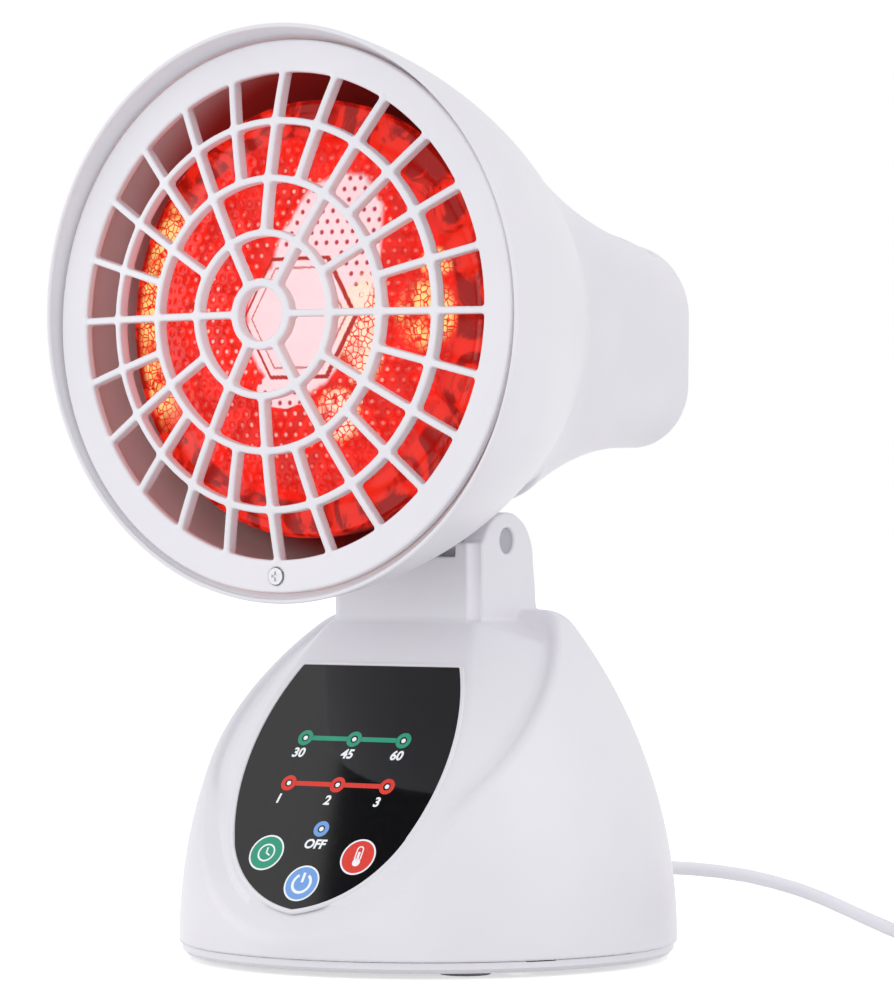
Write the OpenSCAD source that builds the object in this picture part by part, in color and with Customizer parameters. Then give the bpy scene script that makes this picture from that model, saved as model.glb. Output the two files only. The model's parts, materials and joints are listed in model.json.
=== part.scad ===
// Infrared heat therapy lamp for a table: a round-based stand with a touch
// panel, and a bell-shaped head with a red reflector bulb behind a grille.
// The head tilts about a bolt through the two ears of the stand.
// +Z is up, the front of the lamp faces -Y, and the origin is the centre of
// the base's footprint on the floor.

/* [Base] */
// Largest radius of the base shell
base_r = 71.8; // [68:0.2:76]
// Height of the base shell's flat top
dome_top = 100; // [96:0.5:102]
// Radius of the arc that the base's side follows
dome_arc_r = 150; // [140:1:170]
// Height at which the side arc is upright
dome_arc_z = 6; // [4:0.5:10]
// Radius of the rounded shoulder at the top of the base
shoulder_r = 11; // [8:0.5:13]
// Wall of the base shell
base_wall = 2.6; // [2.2:0.1:3]
// Chamfer round the lower edge of the base shell
skirt_chamfer = 1.2; // [0.8:0.1:2]
// Thickness of the bottom plate
plate_t = 3; // [2.4:0.1:4]
// How far the bottom plate stands in from the base shell's side
plate_inset = 1; // [0.8:0.1:1.6]
// Seam between the bottom plate and the base shell
seam_gap = 0.3; // [0.1:0.05:0.4]
// Height of the rubber feet below the bottom plate
foot_h = 1.7; // [1.5:0.1:2.4]
// Radius of a rubber foot
foot_r = 7.5; // [6:0.1:8]
// Distance of the feet from the middle
foot_ring_r = 53; // [50:0.5:56]

/* [Control face] */
// Slope of the control face, from upright
face_tilt = 33.3; // [32.3:0.1:34.3]
// Where the face is measured from: its distance in front of the middle
face_y = 21.6; // [21:0.1:22.6]
// Height of that line on the face
face_z = 88; // [86:0.5:90]
// Slope of the scooped shoulders beside the face, from upright
scoop_tilt = 47.3; // [46:0.5:49]
// Depth of the valley between the scooped shoulder and the face
valley_d = 2.2; // [1.5:0.1:3]
// Top edge of the panel, down the slope from the face line
panel_top = 4.4; // [3.6:0.1:5.4]
// Largest half width of the panel
panel_half_w = 33.8; // [32:0.2:34.4]
// Radius of the panel's long sides
panel_side_r = 70; // [68:1:74]
// Distance down the slope at which the panel is widest
panel_side_v = 35; // [33:0.5:37]
// Radius of the panel's rounded lower end
panel_tip_r = 37; // [36:0.5:37.5]
// Distance down the slope of the lower end's centre
panel_tip_v = 47; // [46:0.5:48]
// Thickness of the panel
panel_t = 1; // [0.8:0.1:1.4]
// Width of the raised rim round the panel
rim_w = 1.1; // [0.8:0.1:1.6]
// Height of the raised rim above the face
rim_h = 0.5; // [0.3:0.1:0.8]
// Radius of a touch pad
pad_r = 5.1; // [4.6:0.1:5.4]
// Depth of a touch pad's inlay
pad_t = 0.5; // [0.4:0.05:0.6]
// Spacing of the indicator lights in a row
light_pitch = 16.8; // [15:0.1:18]
// Radius of an indicator's light window
light_r = 0.7; // [0.6:0.05:1]
// Distance of the timer lights down the slope
timer_row_v = 28.7; // [27:0.1:31]
// Distance of the heat lights down the slope
heat_row_v = 43.6; // [42:0.1:45]
// Distance of the power light down the slope
power_light_v = 57.9; // [57:0.1:59]
// Distance of the timer and heat pads down the slope
side_pad_v = 66.2; // [65.4:0.1:67]
// Distance of the power pad down the slope
power_pad_v = 75.3; // [74.6:0.1:76]
// Distance of the timer and heat pads from the middle
side_pad_u = 15.6; // [15:0.1:16.6]
// Depth of the control board behind the face
board_depth = 8.2; // [7.6:0.1:9]

/* [Neck] */
// Half width across the outer faces of the ears
ear_out = 25.5; // [24.5:0.1:27]
// Half width of the fork that the head's knuckle sits in
fork_half_w = 18; // [17:0.1:18.5]
// Radius of the rounded top of an ear
ear_r = 13.7; // [13:0.1:14]
// Height of the centre of an ear's rounded top
ear_top_z = 114.4; // [113:0.1:115]
// Front face of the neck, in front of the middle
neck_front = 13.8; // [13:0.1:15]
// Radius of the cove between the neck's front and each ear
cove_r = 3.1; // [2:0.1:3.4]
// Back of the neck, behind the middle
neck_back = 19; // [18:0.5:20]
// Top of the neck's front wall inside the fork
fork_sill_z = 115.5; // [114:0.1:116]
// Floor of the fork
fork_floor_z = 109.5; // [108:0.1:110]

/* [Tilt hinge] */
// Distance of the hinge bolt behind the middle of the base
pivot_y = 2.6; // [2:0.1:3.4]
// Height of the hinge bolt
pivot_z = 120; // [119.5:0.1:121]
// How far the head tilts down from the pose in the picture
tilt_down = 8; // [4:1:8]
// How far the head tilts up from that pose
tilt_up = 40; // [20:1:45]
// Upward tilt of the head at rest
head_tilt = 1.1; // [0:0.1:4]
// Diameter of the hinge bolt's shank
bolt_d = 5; // [4:0.5:5]
// Radial running clearance of the bolt
bolt_play = 0.06; // [0.02:0.01:0.1]
// Diameter of the round recess in the outside of each ear
recess_d = 7.4; // [7.4:0.1:9]
// Radius of the head's knuckle
knuckle_r = 9; // [8:0.1:9.4]
// Thickness of each friction washer
washer_t = 0.9; // [0.7:0.1:1.2]

/* [Bell] */
// Outer radius of the bell at the grille's plane
bell_r = 79.6; // [78:0.2:82]
// Radius of the arc that the bell's side follows
bell_arc_r = 185; // [178:1:195]
// How far in front of the grille's plane the bell's side is straight
bell_arc_lead = 21; // [18:0.5:24]
// Wall of the bell and of the rear housing
head_wall = 2.4; // [2:0.1:2.8]
// Distance of the hinge bolt behind the grille's plane
pivot_back = 77.5; // [76:0.5:79]
// Distance of the hinge bolt below the bell's side
hinge_drop = 8.3; // [8.1:0.1:9.4]
// How far the bell's lip stands in front of the grille's plane at the sides
lip_lead = 2.6; // [1.5:0.1:4]
// Angle by which the lip leans forward at its top
lip_lean = 2.8; // [0:0.1:4]

/* [Rear housing] */
// Distance of the rear face behind the grille's plane
housing_end = 171.5; // [168:0.5:175]
// Half width of the rear housing
housing_half_w = 31; // [29.5:0.2:32]
// Half height of the rear housing at its back
housing_half_h = 31; // [29.5:0.2:32]
// Radius of the concave flare along its top and bottom
flare_r = 165; // [155:1:180]
// Bevel round the rear face
rear_bevel = 2.4; // [1:0.2:4]
// Radius of the housing's long corners
housing_corner = 19; // [16:0.5:20]
// Half width of a cooling slot
slot_half_w = 1.3; // [1:0.1:1.6]

/* [Grille] */
// Gap between the grille and the bell's lip
grille_gap = 0.9; // [0.5:0.1:1.2]
// Width of the grille's rim
grille_rim_w = 9; // [8.4:0.1:9.6]
// How far the middle of the grille stands forward
grille_bulge = 9.4; // [6:0.1:11]
// Width of a grille bar
bar_w = 2; // [1.6:0.1:2.4]
// Depth of a grille bar
bar_d = 4; // [3:0.1:4.4]
// Thickness of the grille's rim
grille_t = 3; // [2.4:0.1:3.4]
// Centre-line radius of the outer ring of bars
ring_1_r = 53.6; // [52:0.1:55]
// Centre-line radius of the middle ring of bars
ring_2_r = 37.5; // [36:0.1:39]
// Centre-line radius of the inner ring of bars
ring_3_r = 22.4; // [21:0.1:24]
// Outer radius of the hub
hub_r = 9.85; // [9:0.05:10.5]
// Radius of the hole in the hub
hub_hole_r = 7.4; // [6.8:0.1:8]

/* [Bulb and socket] */
// Outer radius of the bulb's front
bulb_r = 61; // [59:0.5:62]
// Distance of the bulb's front behind the grille's plane
bulb_front = 9.5; // [9:0.1:12]
// Bulge of the bulb's front lens
lens_bulge = 4; // [3:0.5:5]
// Thickness of the bulb's glass
glass_t = 2; // [1.6:0.1:2.6]
// Length of the bulb from its front to the end of its contact
bulb_len = 136; // [134:0.5:137]
// Radius of the bulb's screw cap
cap_r = 13; // [12.8:0.05:13.1]
// Length of the bulb's screw cap
cap_len = 24; // [22:0.5:25]
// Outer radius of the ceramic socket
socket_r = 19; // [18.5:0.1:19.8]
// Length of the ceramic socket
socket_len = 37; // [35:0.5:37]

/* [Mains lead] */
// Diameter of the mains lead
cord_d = 4.2; // [4:0.1:4.4]
// Height of the hole that the lead leaves the base by
cord_hole_z = 19; // [18.5:0.1:20]
// Mean radius of the coil's turns
coil_mean_r = 24.4; // [24:0.1:25]
// Distance between neighbouring turns, and between layers
coil_pitch = 4.8; // [4.75:0.05:5]
// Turns in each layer of the coil
coil_turns = 2.5625; // [2.5625:1:2.5625]
// Thickness of the band that ties the coil
tie_t = 0.6; // [0.5:0.05:0.7]

/* [Hidden] */

$fn = 96;
// Small overlap that makes two shapes one solid
eps = 0.05;
// Gap round a piece that drops into its seat
fit = 0.1;
// Number of sides on the shapes that are blended together
blend_fn = 32;

// ---- Heights of the base ----
plate_z = foot_h;
shell_z = plate_z + plate_t + seam_gap;
plate_r = base_r - plate_inset;
inside_z = plate_z + plate_t;
inside_r = base_r - base_wall;

// ---- Points on the bell and its flare ----
bell_arc_x = bell_r - sqrt(pow(bell_arc_r, 2) - pow(bell_arc_lead, 2));
function bell_radius(s, g = 0) =
    bell_arc_x + sqrt(pow(bell_arc_r + g, 2) - pow(s + bell_arc_lead, 2));
bell_back_r = housing_half_w + fit + 0.2;
bell_len = sqrt(pow(bell_arc_r, 2) - pow(bell_back_r - bell_arc_x, 2)) - bell_arc_lead;
// Height of the lamp's axis above the hinge bolt
axis_h = bell_radius(pivot_back) + hinge_drop;

// ---- The grille sits inside the bell's lip ----
grille_r = bell_r - head_wall - grille_gap;
grille_open_r = grille_r - grille_rim_w;
grille_screw_r = grille_r - grille_rim_w / 2;

// ---- Tilts at which the head is kept clear of the neck ----
clear_step = 12;
tilt_stops = [for (a = [-tilt_down : clear_step : tilt_up + clear_step]) min(a, tilt_up)];

// =====================================================================
// Placing
// =====================================================================

// Lamp coordinates: origin in the middle of the grille's rim plane,
// +Y backward along the lamp's axis
module in_head(extra = 0) {
    translate([0, pivot_y, pivot_z])
        rotate([-head_tilt - extra, 0, 0])
            translate([0, -pivot_back, axis_h])
                children();
}

// A profile of (radius, distance behind the rim plane) turned about the lamp's axis
module turned() {
    rotate([-90, 0, 0])
        rotate_extrude()
            children();
}

// Control face: x across, y up the slope, z out of the face
module on_face() {
    translate([0, -face_y, face_z])
        rotate([90 - face_tilt, 0, 0])
            children();
}

// Scooped shoulders: the plane through the crest beside the face
scoop_y = 1;
scoop_z = 91;
module on_scoop() {
    translate([0, -scoop_y, scoop_z])
        rotate([90 - scoop_tilt, 0, 0])
            children();
}

module mirrored_x() {
    children();
    mirror([1, 0, 0]) children();
}

// A rod from the origin along +Y
module rod_y(r, len) {
    rotate([-90, 0, 0]) cylinder(r = r, h = len);
}

// A screw with its head's underside at the origin and its shank along -Z
module screw(head_r, head_h, shank_r, len) {
    slot_w = head_r * 0.3;
    slot_l = head_r * 1.2;
    difference() {
        union() {
            cylinder(r = head_r, h = head_h);
            translate([0, 0, -len]) cylinder(r = shank_r, h = len + eps);
        }
        for (a = [0, 90])
            rotate(a)
                translate([-slot_l / 2, -slot_w / 2, head_h / 2])
                    cube([slot_l, slot_w, head_h]);
    }
}

// =====================================================================
// Base shell
// =====================================================================

// Half section of the dome: a long side arc and a rounded shoulder
module dome_section(g) {
    arc_x = base_r - dome_arc_r;
    r = dome_arc_r + g;
    f = shoulder_r + g;
    f_z = dome_top + g - f;
    f_x = arc_x + sqrt(pow(r - f, 2) - pow(f_z - dome_arc_z, 2));
    touch_z = dome_arc_z + (f_z - dome_arc_z) * r / (r - f);
    intersection() {
        translate([arc_x, dome_arc_z]) circle(r, $fn = 360);
        square([base_r + g, touch_z]);
    }
    square([f_x, dome_top + g]);
    translate([f_x, f_z]) circle(f);
}

module dome(g = 0) {
    rotate_extrude() dome_section(g);
}

// Everything in front of the control face and the scooped shoulders
module front_cuts(g) {
    reach = 200;
    on_face() translate([-reach / 2, -reach, g]) cube([reach, 2 * reach, reach]);
    on_scoop() translate([-reach / 2, -reach, g]) cube([reach, 2 * reach, reach]);
}

// Outline of the panel with its sides moved out by m
module panel_outline(m = 0) {
    side_x = panel_side_r - panel_half_w;
    tip_x = 5.3;
    tip_start_v = 60;
    intersection() {
        translate([-side_x, -panel_side_v]) circle(panel_side_r + m);
        translate([side_x, -panel_side_v]) circle(panel_side_r + m);
        union() {
            translate([-panel_side_r, -tip_start_v])
                square([2 * panel_side_r, tip_start_v - panel_top + m]);
            intersection() {
                translate([-tip_x, -panel_tip_v]) circle(panel_tip_r + m);
                translate([tip_x, -panel_tip_v]) circle(panel_tip_r + m);
                translate([-panel_side_r, -2 * panel_side_r])
                    square([2 * panel_side_r, 2 * panel_side_r - tip_start_v + eps]);
            }
        }
    }
}

// The raised body that carries the panel: it runs from the neck down to the
// control face and spreads to the scooped shoulders
face_margin = 3.2;
crest_w = 3.4;
core_t = 3;
neck_root_z = 97;
module tongue(g = 0) {
    hull() {
        on_face()
            translate([0, 0, -core_t + g])
                linear_extrude(core_t) panel_outline(face_margin + g, $fn = blend_fn);
        intersection() {
            rotate_extrude($fn = blend_fn) dome_section(-crest_w + g);
            on_scoop()
                translate([-base_r, -56, -valley_d - core_t + g])
                    cube([2 * base_r, 56 + g, core_t]);
        }
        translate([-ear_out - g, -neck_front - g, neck_root_z - core_t + g])
            cube([2 * (ear_out + g), neck_front + neck_back + 2 * g, core_t]);
    }
}

module base_body(g = 0) {
    difference() {
        dome(g);
        front_cuts(g);
    }
    tongue(g);
}

// Plan of the neck with a cove beside each ear
module neck_plan() {
    cove_y = -neck_front;
    difference() {
        translate([-ear_out, -neck_front]) square([2 * ear_out, neck_front + neck_back + eps]);
        for (x = [-ear_out, ear_out])
            translate([x, cove_y]) circle(cove_r);
    }
}

// Side view of the neck, y across and z up
ear_c_y = 3;
ear_foot_z = 90;
module neck_side() {
    front_top_z = 119.5;
    translate([ear_c_y, ear_top_z]) circle(ear_r);
    polygon([
        [ear_c_y - ear_r, ear_foot_z], [neck_back, ear_foot_z],
        [neck_back, neck_root_z], [ear_c_y + ear_r, ear_top_z],
        [ear_c_y - ear_r, ear_top_z]
    ]);
    translate([-neck_front, ear_foot_z])
        square([neck_front + ear_c_y, front_top_z - ear_foot_z]);
}

module neck() {
    top = ear_top_z + ear_r;
    intersection() {
        translate([0, 0, ear_foot_z]) linear_extrude(top - ear_foot_z) neck_plan();
        rotate([90, 0, 90]) translate([0, 0, -ear_out]) linear_extrude(2 * ear_out) neck_side();
    }
}

// The space that the bell sweeps over the neck
bell_clearance = 0.7;
module bell_sweep() {
    for (a = tilt_stops)
        in_head(a)
            turned()
                intersection() {
                    translate([bell_arc_x, -bell_arc_lead]) circle(bell_arc_r + bell_clearance, $fn = 360);
                    translate([0, 20]) square([bell_r + bell_clearance, bell_len - 20]);
                }
}

head_recess = 5;
module fork_cut() {
    front_wall = 2.4;
    translate([-fork_half_w, -neck_front + front_wall, fork_floor_z])
        cube([2 * fork_half_w, 60, 40]);
    translate([-fork_half_w, -neck_front - 1, fork_sill_z])
        cube([2 * fork_half_w, 60, 40]);
    // bores for the bolt, and the round recess outside each ear
    translate([-ear_out - 1, pivot_y, pivot_z])
        rotate([0, 90, 0]) cylinder(d = bolt_d + 2 * bolt_play, h = 2 * ear_out + 2);
    for (m = [0, 1])
        mirror([m, 0, 0])
            translate([ear_out - head_recess, pivot_y, pivot_z])
                rotate([0, 90, 0]) cylinder(d = recess_d, h = head_recess + 1);
}

// Places that screws and feet share
plate_screw_r = 58;
plate_screw_h = 10;
plate_screw_angles = [30, 150, 210, 330];
boss_r = 4;
boss_h = 16;
module shell_bosses() {
    for (a = plate_screw_angles)
        rotate(a) {
            translate([plate_screw_r, 0, inside_z]) {
                cylinder(r = boss_r, h = boss_h);
                translate([0, -1.2, 3]) cube([inside_r - plate_screw_r + 0.8, 2.4, boss_h - 3]);
            }
        }
}

control_boss_u = 16;
control_boss_v = [3.5, 78.5];
control_boss_r = 2.4;
board_t = 1.6;
thread_r = 0.9;
module control_bosses() {
    on_face()
        for (x = [-control_boss_u, control_boss_u], v = control_boss_v)
            translate([x, -v, -board_depth])
                cylinder(r = control_boss_r, h = board_depth - 1);
}

module control_holes() {
    on_face()
        for (x = [-control_boss_u, control_boss_u], v = control_boss_v)
            translate([x, -v, -board_depth - 1])
                cylinder(r = thread_r, h = board_depth - 1);
}

relief_seat_r = 4.2;
panel_seat = 0.9;
window_ledge = 4;
module base_shell() color([0.93, 0.92, 0.94]) {
    difference() {
        union() {
            difference() {
                union() {
                    base_body();
                    neck();
                    on_face() linear_extrude(rim_h) panel_outline(rim_w);
                }
                difference() {
                    union() {
                        base_body(-base_wall);
                        // way up the neck for the lamp's wires
                        translate([-12, -8, neck_root_z - 10]) cube([24, 22, 20]);
                    }
                    shell_bosses();
                    control_bosses();
                }
            }
        }
        // open underside, with the skirt's chamfer
        translate([0, 0, -1]) cylinder(r = base_r + 5, h = shell_z + 1);
        rotate_extrude()
            polygon([
                [base_r - skirt_chamfer, shell_z - eps], [base_r + 2, shell_z - eps],
                [base_r + 2, shell_z + skirt_chamfer + 2]
            ]);
        // seat and window for the panel
        on_face() translate([0, 0, -panel_seat]) linear_extrude(5) panel_outline(fit);
        on_face() translate([0, 0, -base_wall - 0.5]) linear_extrude(5) panel_outline(-window_ledge);
        fork_cut();
        bell_sweep();
        // hole for the wires in the fork's floor
        translate([0, wire_y, neck_root_z]) cylinder(r = 3, h = 20);
        // screw holes
        for (a = plate_screw_angles)
            rotate(a) translate([plate_screw_r, 0, 0]) cylinder(r = 1.3, h = inside_z + boss_h - 2);
        control_holes();
        // hole for the strain relief
        translate([0, base_r - 12, cord_hole_z]) rod_y(relief_seat_r, 20);
    }
}

// =====================================================================
// Underside of the base
// =====================================================================

module base_plate() color([0.9, 0.89, 0.91]) {
    spigot_r = inside_r - 0.6;
    spigot_h = 3;
    spigot_t = 1.6;
    edge = 1.2;
    difference() {
        rotate_extrude()
            polygon([
                [0, plate_z], [plate_r - edge, plate_z], [plate_r, plate_z + edge], [plate_r, inside_z],
                [spigot_r, inside_z], [spigot_r, inside_z + spigot_h],
                [spigot_r - spigot_t, inside_z + spigot_h], [spigot_r - spigot_t, inside_z], [0, inside_z]
            ]);
        // notches that let the shell's ribs reach the plate
        for (a = plate_screw_angles)
            rotate(a) {
                translate([plate_screw_r + 2, -4.6, inside_z - 0.2]) cube([20, 9.2, 10]);
                translate([plate_screw_r, 0, 0]) cylinder(r = 1.7, h = 20);
                translate([plate_screw_r, 0, plate_z - 1]) cylinder(r = 3.3, h = 2.6);
            }
        // sockets for the feet
        at_feet() translate([0, 0, plate_z - 1]) cylinder(r = foot_r - 1.5, h = 2);
        // ballast screws
        for (x = [-ballast_screw_x, ballast_screw_x])
            translate([x, 0, plate_z + 0.8]) cylinder(r = 1.3, h = 10);
    }
}

// Four feet near the edge, and one in the middle under the ballast
module at_feet() {
    children();
    for (a = [45 : 90 : 315])
        rotate(a) translate([foot_ring_r, 0, 0]) children();
}

module rubber_feet() color([0.82, 0.81, 0.84]) {
    at_feet() {
        cylinder(r1 = foot_r - 0.5, r2 = foot_r, h = 0.5);
        translate([0, 0, 0.5]) cylinder(r = foot_r, h = foot_h - 0.5);
        cylinder(r = foot_r - 1.5 - fit, h = foot_h + 0.9);
    }
}

module plate_screws() color([0.7, 0.7, 0.72]) {
    for (a = plate_screw_angles)
        rotate(a)
            translate([plate_screw_r, 0, plate_z + 1.6])
                rotate([180, 0, 0]) screw(3, 1.5, 1.25, plate_screw_h);
}

ballast_r = 46;
ballast_h = 6;
ballast_screw_x = 38;
module ballast_plate() color([0.45, 0.46, 0.48]) {
    difference() {
        translate([0, 0, inside_z]) cylinder(r = ballast_r, h = ballast_h);
        for (x = [-ballast_screw_x, ballast_screw_x])
            translate([x, 0, 0]) cylinder(r = 1.8, h = 40);
    }
}

ballast_top = inside_z + ballast_h;
module ballast_screws() color([0.7, 0.7, 0.72]) {
    for (x = [-ballast_screw_x, ballast_screw_x])
        translate([x, 0, ballast_top]) screw(3.2, 1.8, 1.25, ballast_h + 2);
}

// =====================================================================
// Control panel
// =====================================================================

light_spots = [
    [-light_pitch, timer_row_v], [0, timer_row_v], [light_pitch, timer_row_v],
    [-light_pitch, heat_row_v], [0, heat_row_v], [light_pitch, heat_row_v],
    [0, power_light_v]
];
pad_spots = [[-side_pad_u, side_pad_v], [side_pad_u, side_pad_v], [0, power_pad_v]];
panel_face = panel_t - panel_seat;

module control_panel() color([0.03, 0.03, 0.035]) {
    on_face()
        difference() {
            translate([0, 0, -panel_seat]) linear_extrude(panel_t) panel_outline();
            for (p = light_spots)
                translate([p[0], -p[1], -5]) cylinder(r = light_r + 0.05, h = 10);
            for (p = pad_spots)
                translate([p[0], -p[1], panel_face - pad_t]) cylinder(r = pad_r + 0.05, h = 5);
        }
}

module pad(i) {
    on_face()
        translate([pad_spots[i][0], -pad_spots[i][1], panel_face - pad_t])
            cylinder(r = pad_r, h = pad_t + 0.05);
}

module timer_pad() color([0.1, 0.55, 0.4]) pad(0);
module heat_pad() color([0.9, 0.2, 0.13]) pad(1);
module power_pad() color([0.45, 0.65, 0.88]) pad(2);

board_face = -board_depth;
module light(i) {
    on_face()
        translate([light_spots[i][0], -light_spots[i][1], board_face]) {
            cylinder(r = 1.5, h = board_depth - panel_seat - 0.1);
            cylinder(r = light_r, h = board_depth + panel_face);
        }
}

module timer_lights() color([0.75, 0.95, 0.85]) for (i = [0 : 2]) light(i);
module heat_lights() color([1, 0.85, 0.8]) for (i = [3 : 5]) light(i);
module power_light() color([0.85, 0.9, 1]) light(6);

module control_board() color([0.1, 0.35, 0.2]) {
    half_w = 20;
    top_v = 0.5;
    end_v = 81.5;
    on_face()
        difference() {
            translate([-half_w, -end_v, board_face - board_t])
                cube([2 * half_w, end_v - top_v, board_t]);
            for (x = [-control_boss_u, control_boss_u], v = control_boss_v)
                translate([x, -v, board_face - 5]) cylinder(r = 1.3, h = 10);
        }
}

module touch_springs() color([0.8, 0.6, 0.35]) {
    coil_r = 3;
    on_face()
        for (p = pad_spots)
            translate([p[0], -p[1], board_face])
                difference() {
                    cylinder(r = coil_r, h = board_depth - panel_seat);
                    translate([0, 0, -1]) cylinder(r = coil_r - 0.6, h = board_depth + 2);
                }
}

module control_screws() color([0.7, 0.7, 0.72]) {
    on_face()
        for (x = [-control_boss_u, control_boss_u], v = control_boss_v)
            translate([x, -v, board_face - board_t])
                rotate([180, 0, 0]) screw(2, 1.2, 0.85, board_t + 4);
}

// =====================================================================
// Power electronics on the ballast plate
// =====================================================================

power_w = 62;
power_l = 46;
power_y = 12;
spacer_h = 9;
spacer_x = power_w / 2 - 4;
spacer_y = power_l / 2 - 4;
power_z = ballast_top + spacer_h;
power_top = power_z + board_t;
module at_spacers() {
    for (x = [-spacer_x, spacer_x], y = [-spacer_y, spacer_y])
        translate([x, power_y + y, 0]) children();
}

module board_spacers() color([0.8, 0.8, 0.78]) {
    at_spacers()
        translate([0, 0, ballast_top])
            difference() {
                cylinder(r = 3, h = spacer_h, $fn = 6);
                translate([0, 0, 1.5]) cylinder(r = 1.3, h = spacer_h);
            }
}

module power_board() color([0.55, 0.45, 0.25]) {
    difference() {
        translate([-power_w / 2, power_y - power_l / 2, power_z]) cube([power_w, power_l, board_t]);
        at_spacers() translate([0, 0, power_z - 1]) cylinder(r = 1.6, h = 5);
    }
}

module board_screws() color([0.7, 0.7, 0.72]) {
    at_spacers() translate([0, 0, power_top]) screw(2.6, 1.6, 1.25, board_t + 5);
}

sink_x = -20;
sink_y = power_y - 3;
module heat_sink() color([0.75, 0.76, 0.78]) {
    fin_pitch = 4;
    translate([sink_x - 2, sink_y - 12, power_top]) cube([3, 24, 24]);
    for (i = [0 : 5])
        translate([sink_x - 8, sink_y - 11.2 + i * fin_pitch, power_top]) cube([6 + eps, 1.4, 24]);
}

module triac() color([0.12, 0.12, 0.13]) {
    translate([sink_x + 1, sink_y - 5, power_top + 6]) cube([4.4, 10, 15]);
    for (y = [-2.5, 0, 2.5])
        translate([sink_x + 3, sink_y + y - 0.4, power_top]) cube([0.6, 0.8, 6 + eps]);
}

module supply_capacitor() color([0.75, 0.65, 0.2]) {
    translate([2, power_y - 16, power_top]) cube([18, 8.5, 15]);
}

module mains_fuse() color([0.85, 0.87, 0.88]) {
    fuse_len = 20;
    translate([1, power_y - 1, power_top]) {
        for (x = [0, fuse_len - 4]) translate([x, -3.4, 0]) cube([4, 6.8, 3.4]);
        translate([0, 0, 4.6]) rotate([0, 90, 0]) cylinder(r = 2.6, h = fuse_len);
    }
}

module relay() color([0.15, 0.3, 0.6]) {
    translate([-9, power_y + 5, power_top]) cube([19, 15.5, 15]);
}

module terminal_block() color([0.25, 0.5, 0.3]) {
    block_w = 12;
    translate([13, power_y + 6, power_top])
        difference() {
            cube([block_w, 9, 10]);
            for (x = [3, 9]) translate([x, 4.5, 5]) cylinder(r = 1.6, h = 10);
        }
}

// =====================================================================
// Hinge hardware
// =====================================================================

bolt_head_t = 2.8;
bolt_len = 2 * (ear_out - head_recess);
module hinge_bolt() color([0.72, 0.72, 0.74]) {
    translate([ear_out - head_recess, pivot_y, pivot_z]) rotate([0, 90, 0]) {
        cylinder(r = recess_d / 2 - fit, h = bolt_head_t);
        translate([0, 0, -bolt_len - 2.4]) cylinder(d = bolt_d, h = bolt_len + 2.4 + eps);
    }
}

module hinge_nut() color([0.72, 0.72, 0.74]) {
    translate([-ear_out + head_recess, pivot_y, pivot_z])
        rotate([0, -90, 0])
            difference() {
                cylinder(r = recess_d / 2 - fit, h = 2.8, $fn = 6);
                translate([0, 0, -1]) cylinder(d = bolt_d + 0.04, h = 6);
            }
}

module hinge_caps() color([0.8, 0.79, 0.82]) {
    cap_t = 1;
    sunk = 0.9;
    mirrored_x()
        translate([ear_out - sunk - cap_t, pivot_y, pivot_z])
            rotate([0, 90, 0]) cylinder(r = recess_d / 2 - 0.05, h = cap_t);
}

module friction_washers() color([0.3, 0.3, 0.32]) {
    mirrored_x()
        translate([fork_half_w - washer_t, pivot_y, pivot_z])
            rotate([0, 90, 0])
                difference() {
                    cylinder(r = knuckle_r - 1.5, h = washer_t);
                    translate([0, 0, -1]) cylinder(d = bolt_d + 2 * bolt_play, h = 4);
                }
}

// =====================================================================
// Bell
// =====================================================================

lip_front = 9;
lip_back = 4;
// Half section of the bell, g outside its surface, from its front to "end":
// straight at the lip and on an arc behind it
module bell_section(g, end) {
    polygon([
        [0, -lip_front], [bell_radius(-lip_front, g), -lip_front],
        [bell_radius(lip_back, g), lip_back], [0, lip_back]
    ]);
    intersection() {
        translate([bell_arc_x, -bell_arc_lead]) circle(bell_arc_r + g, $fn = 360);
        translate([0, lip_back]) square([bell_r + 5, end - lip_back]);
    }
}

module bell_solid(g = 0) {
    turned() bell_section(g, bell_len);
}

knuckle_half_w = fork_half_w - washer_t - fit;
wire_y = pivot_y + 5.6;
module knuckle() {
    translate([-knuckle_half_w, pivot_back, -axis_h]) {
        rotate([0, 90, 0]) cylinder(r = knuckle_r, h = 2 * knuckle_half_w);
        translate([0, -knuckle_r, 0]) cube([2 * knuckle_half_w, 2 * knuckle_r, 20]);
    }
}

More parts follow.
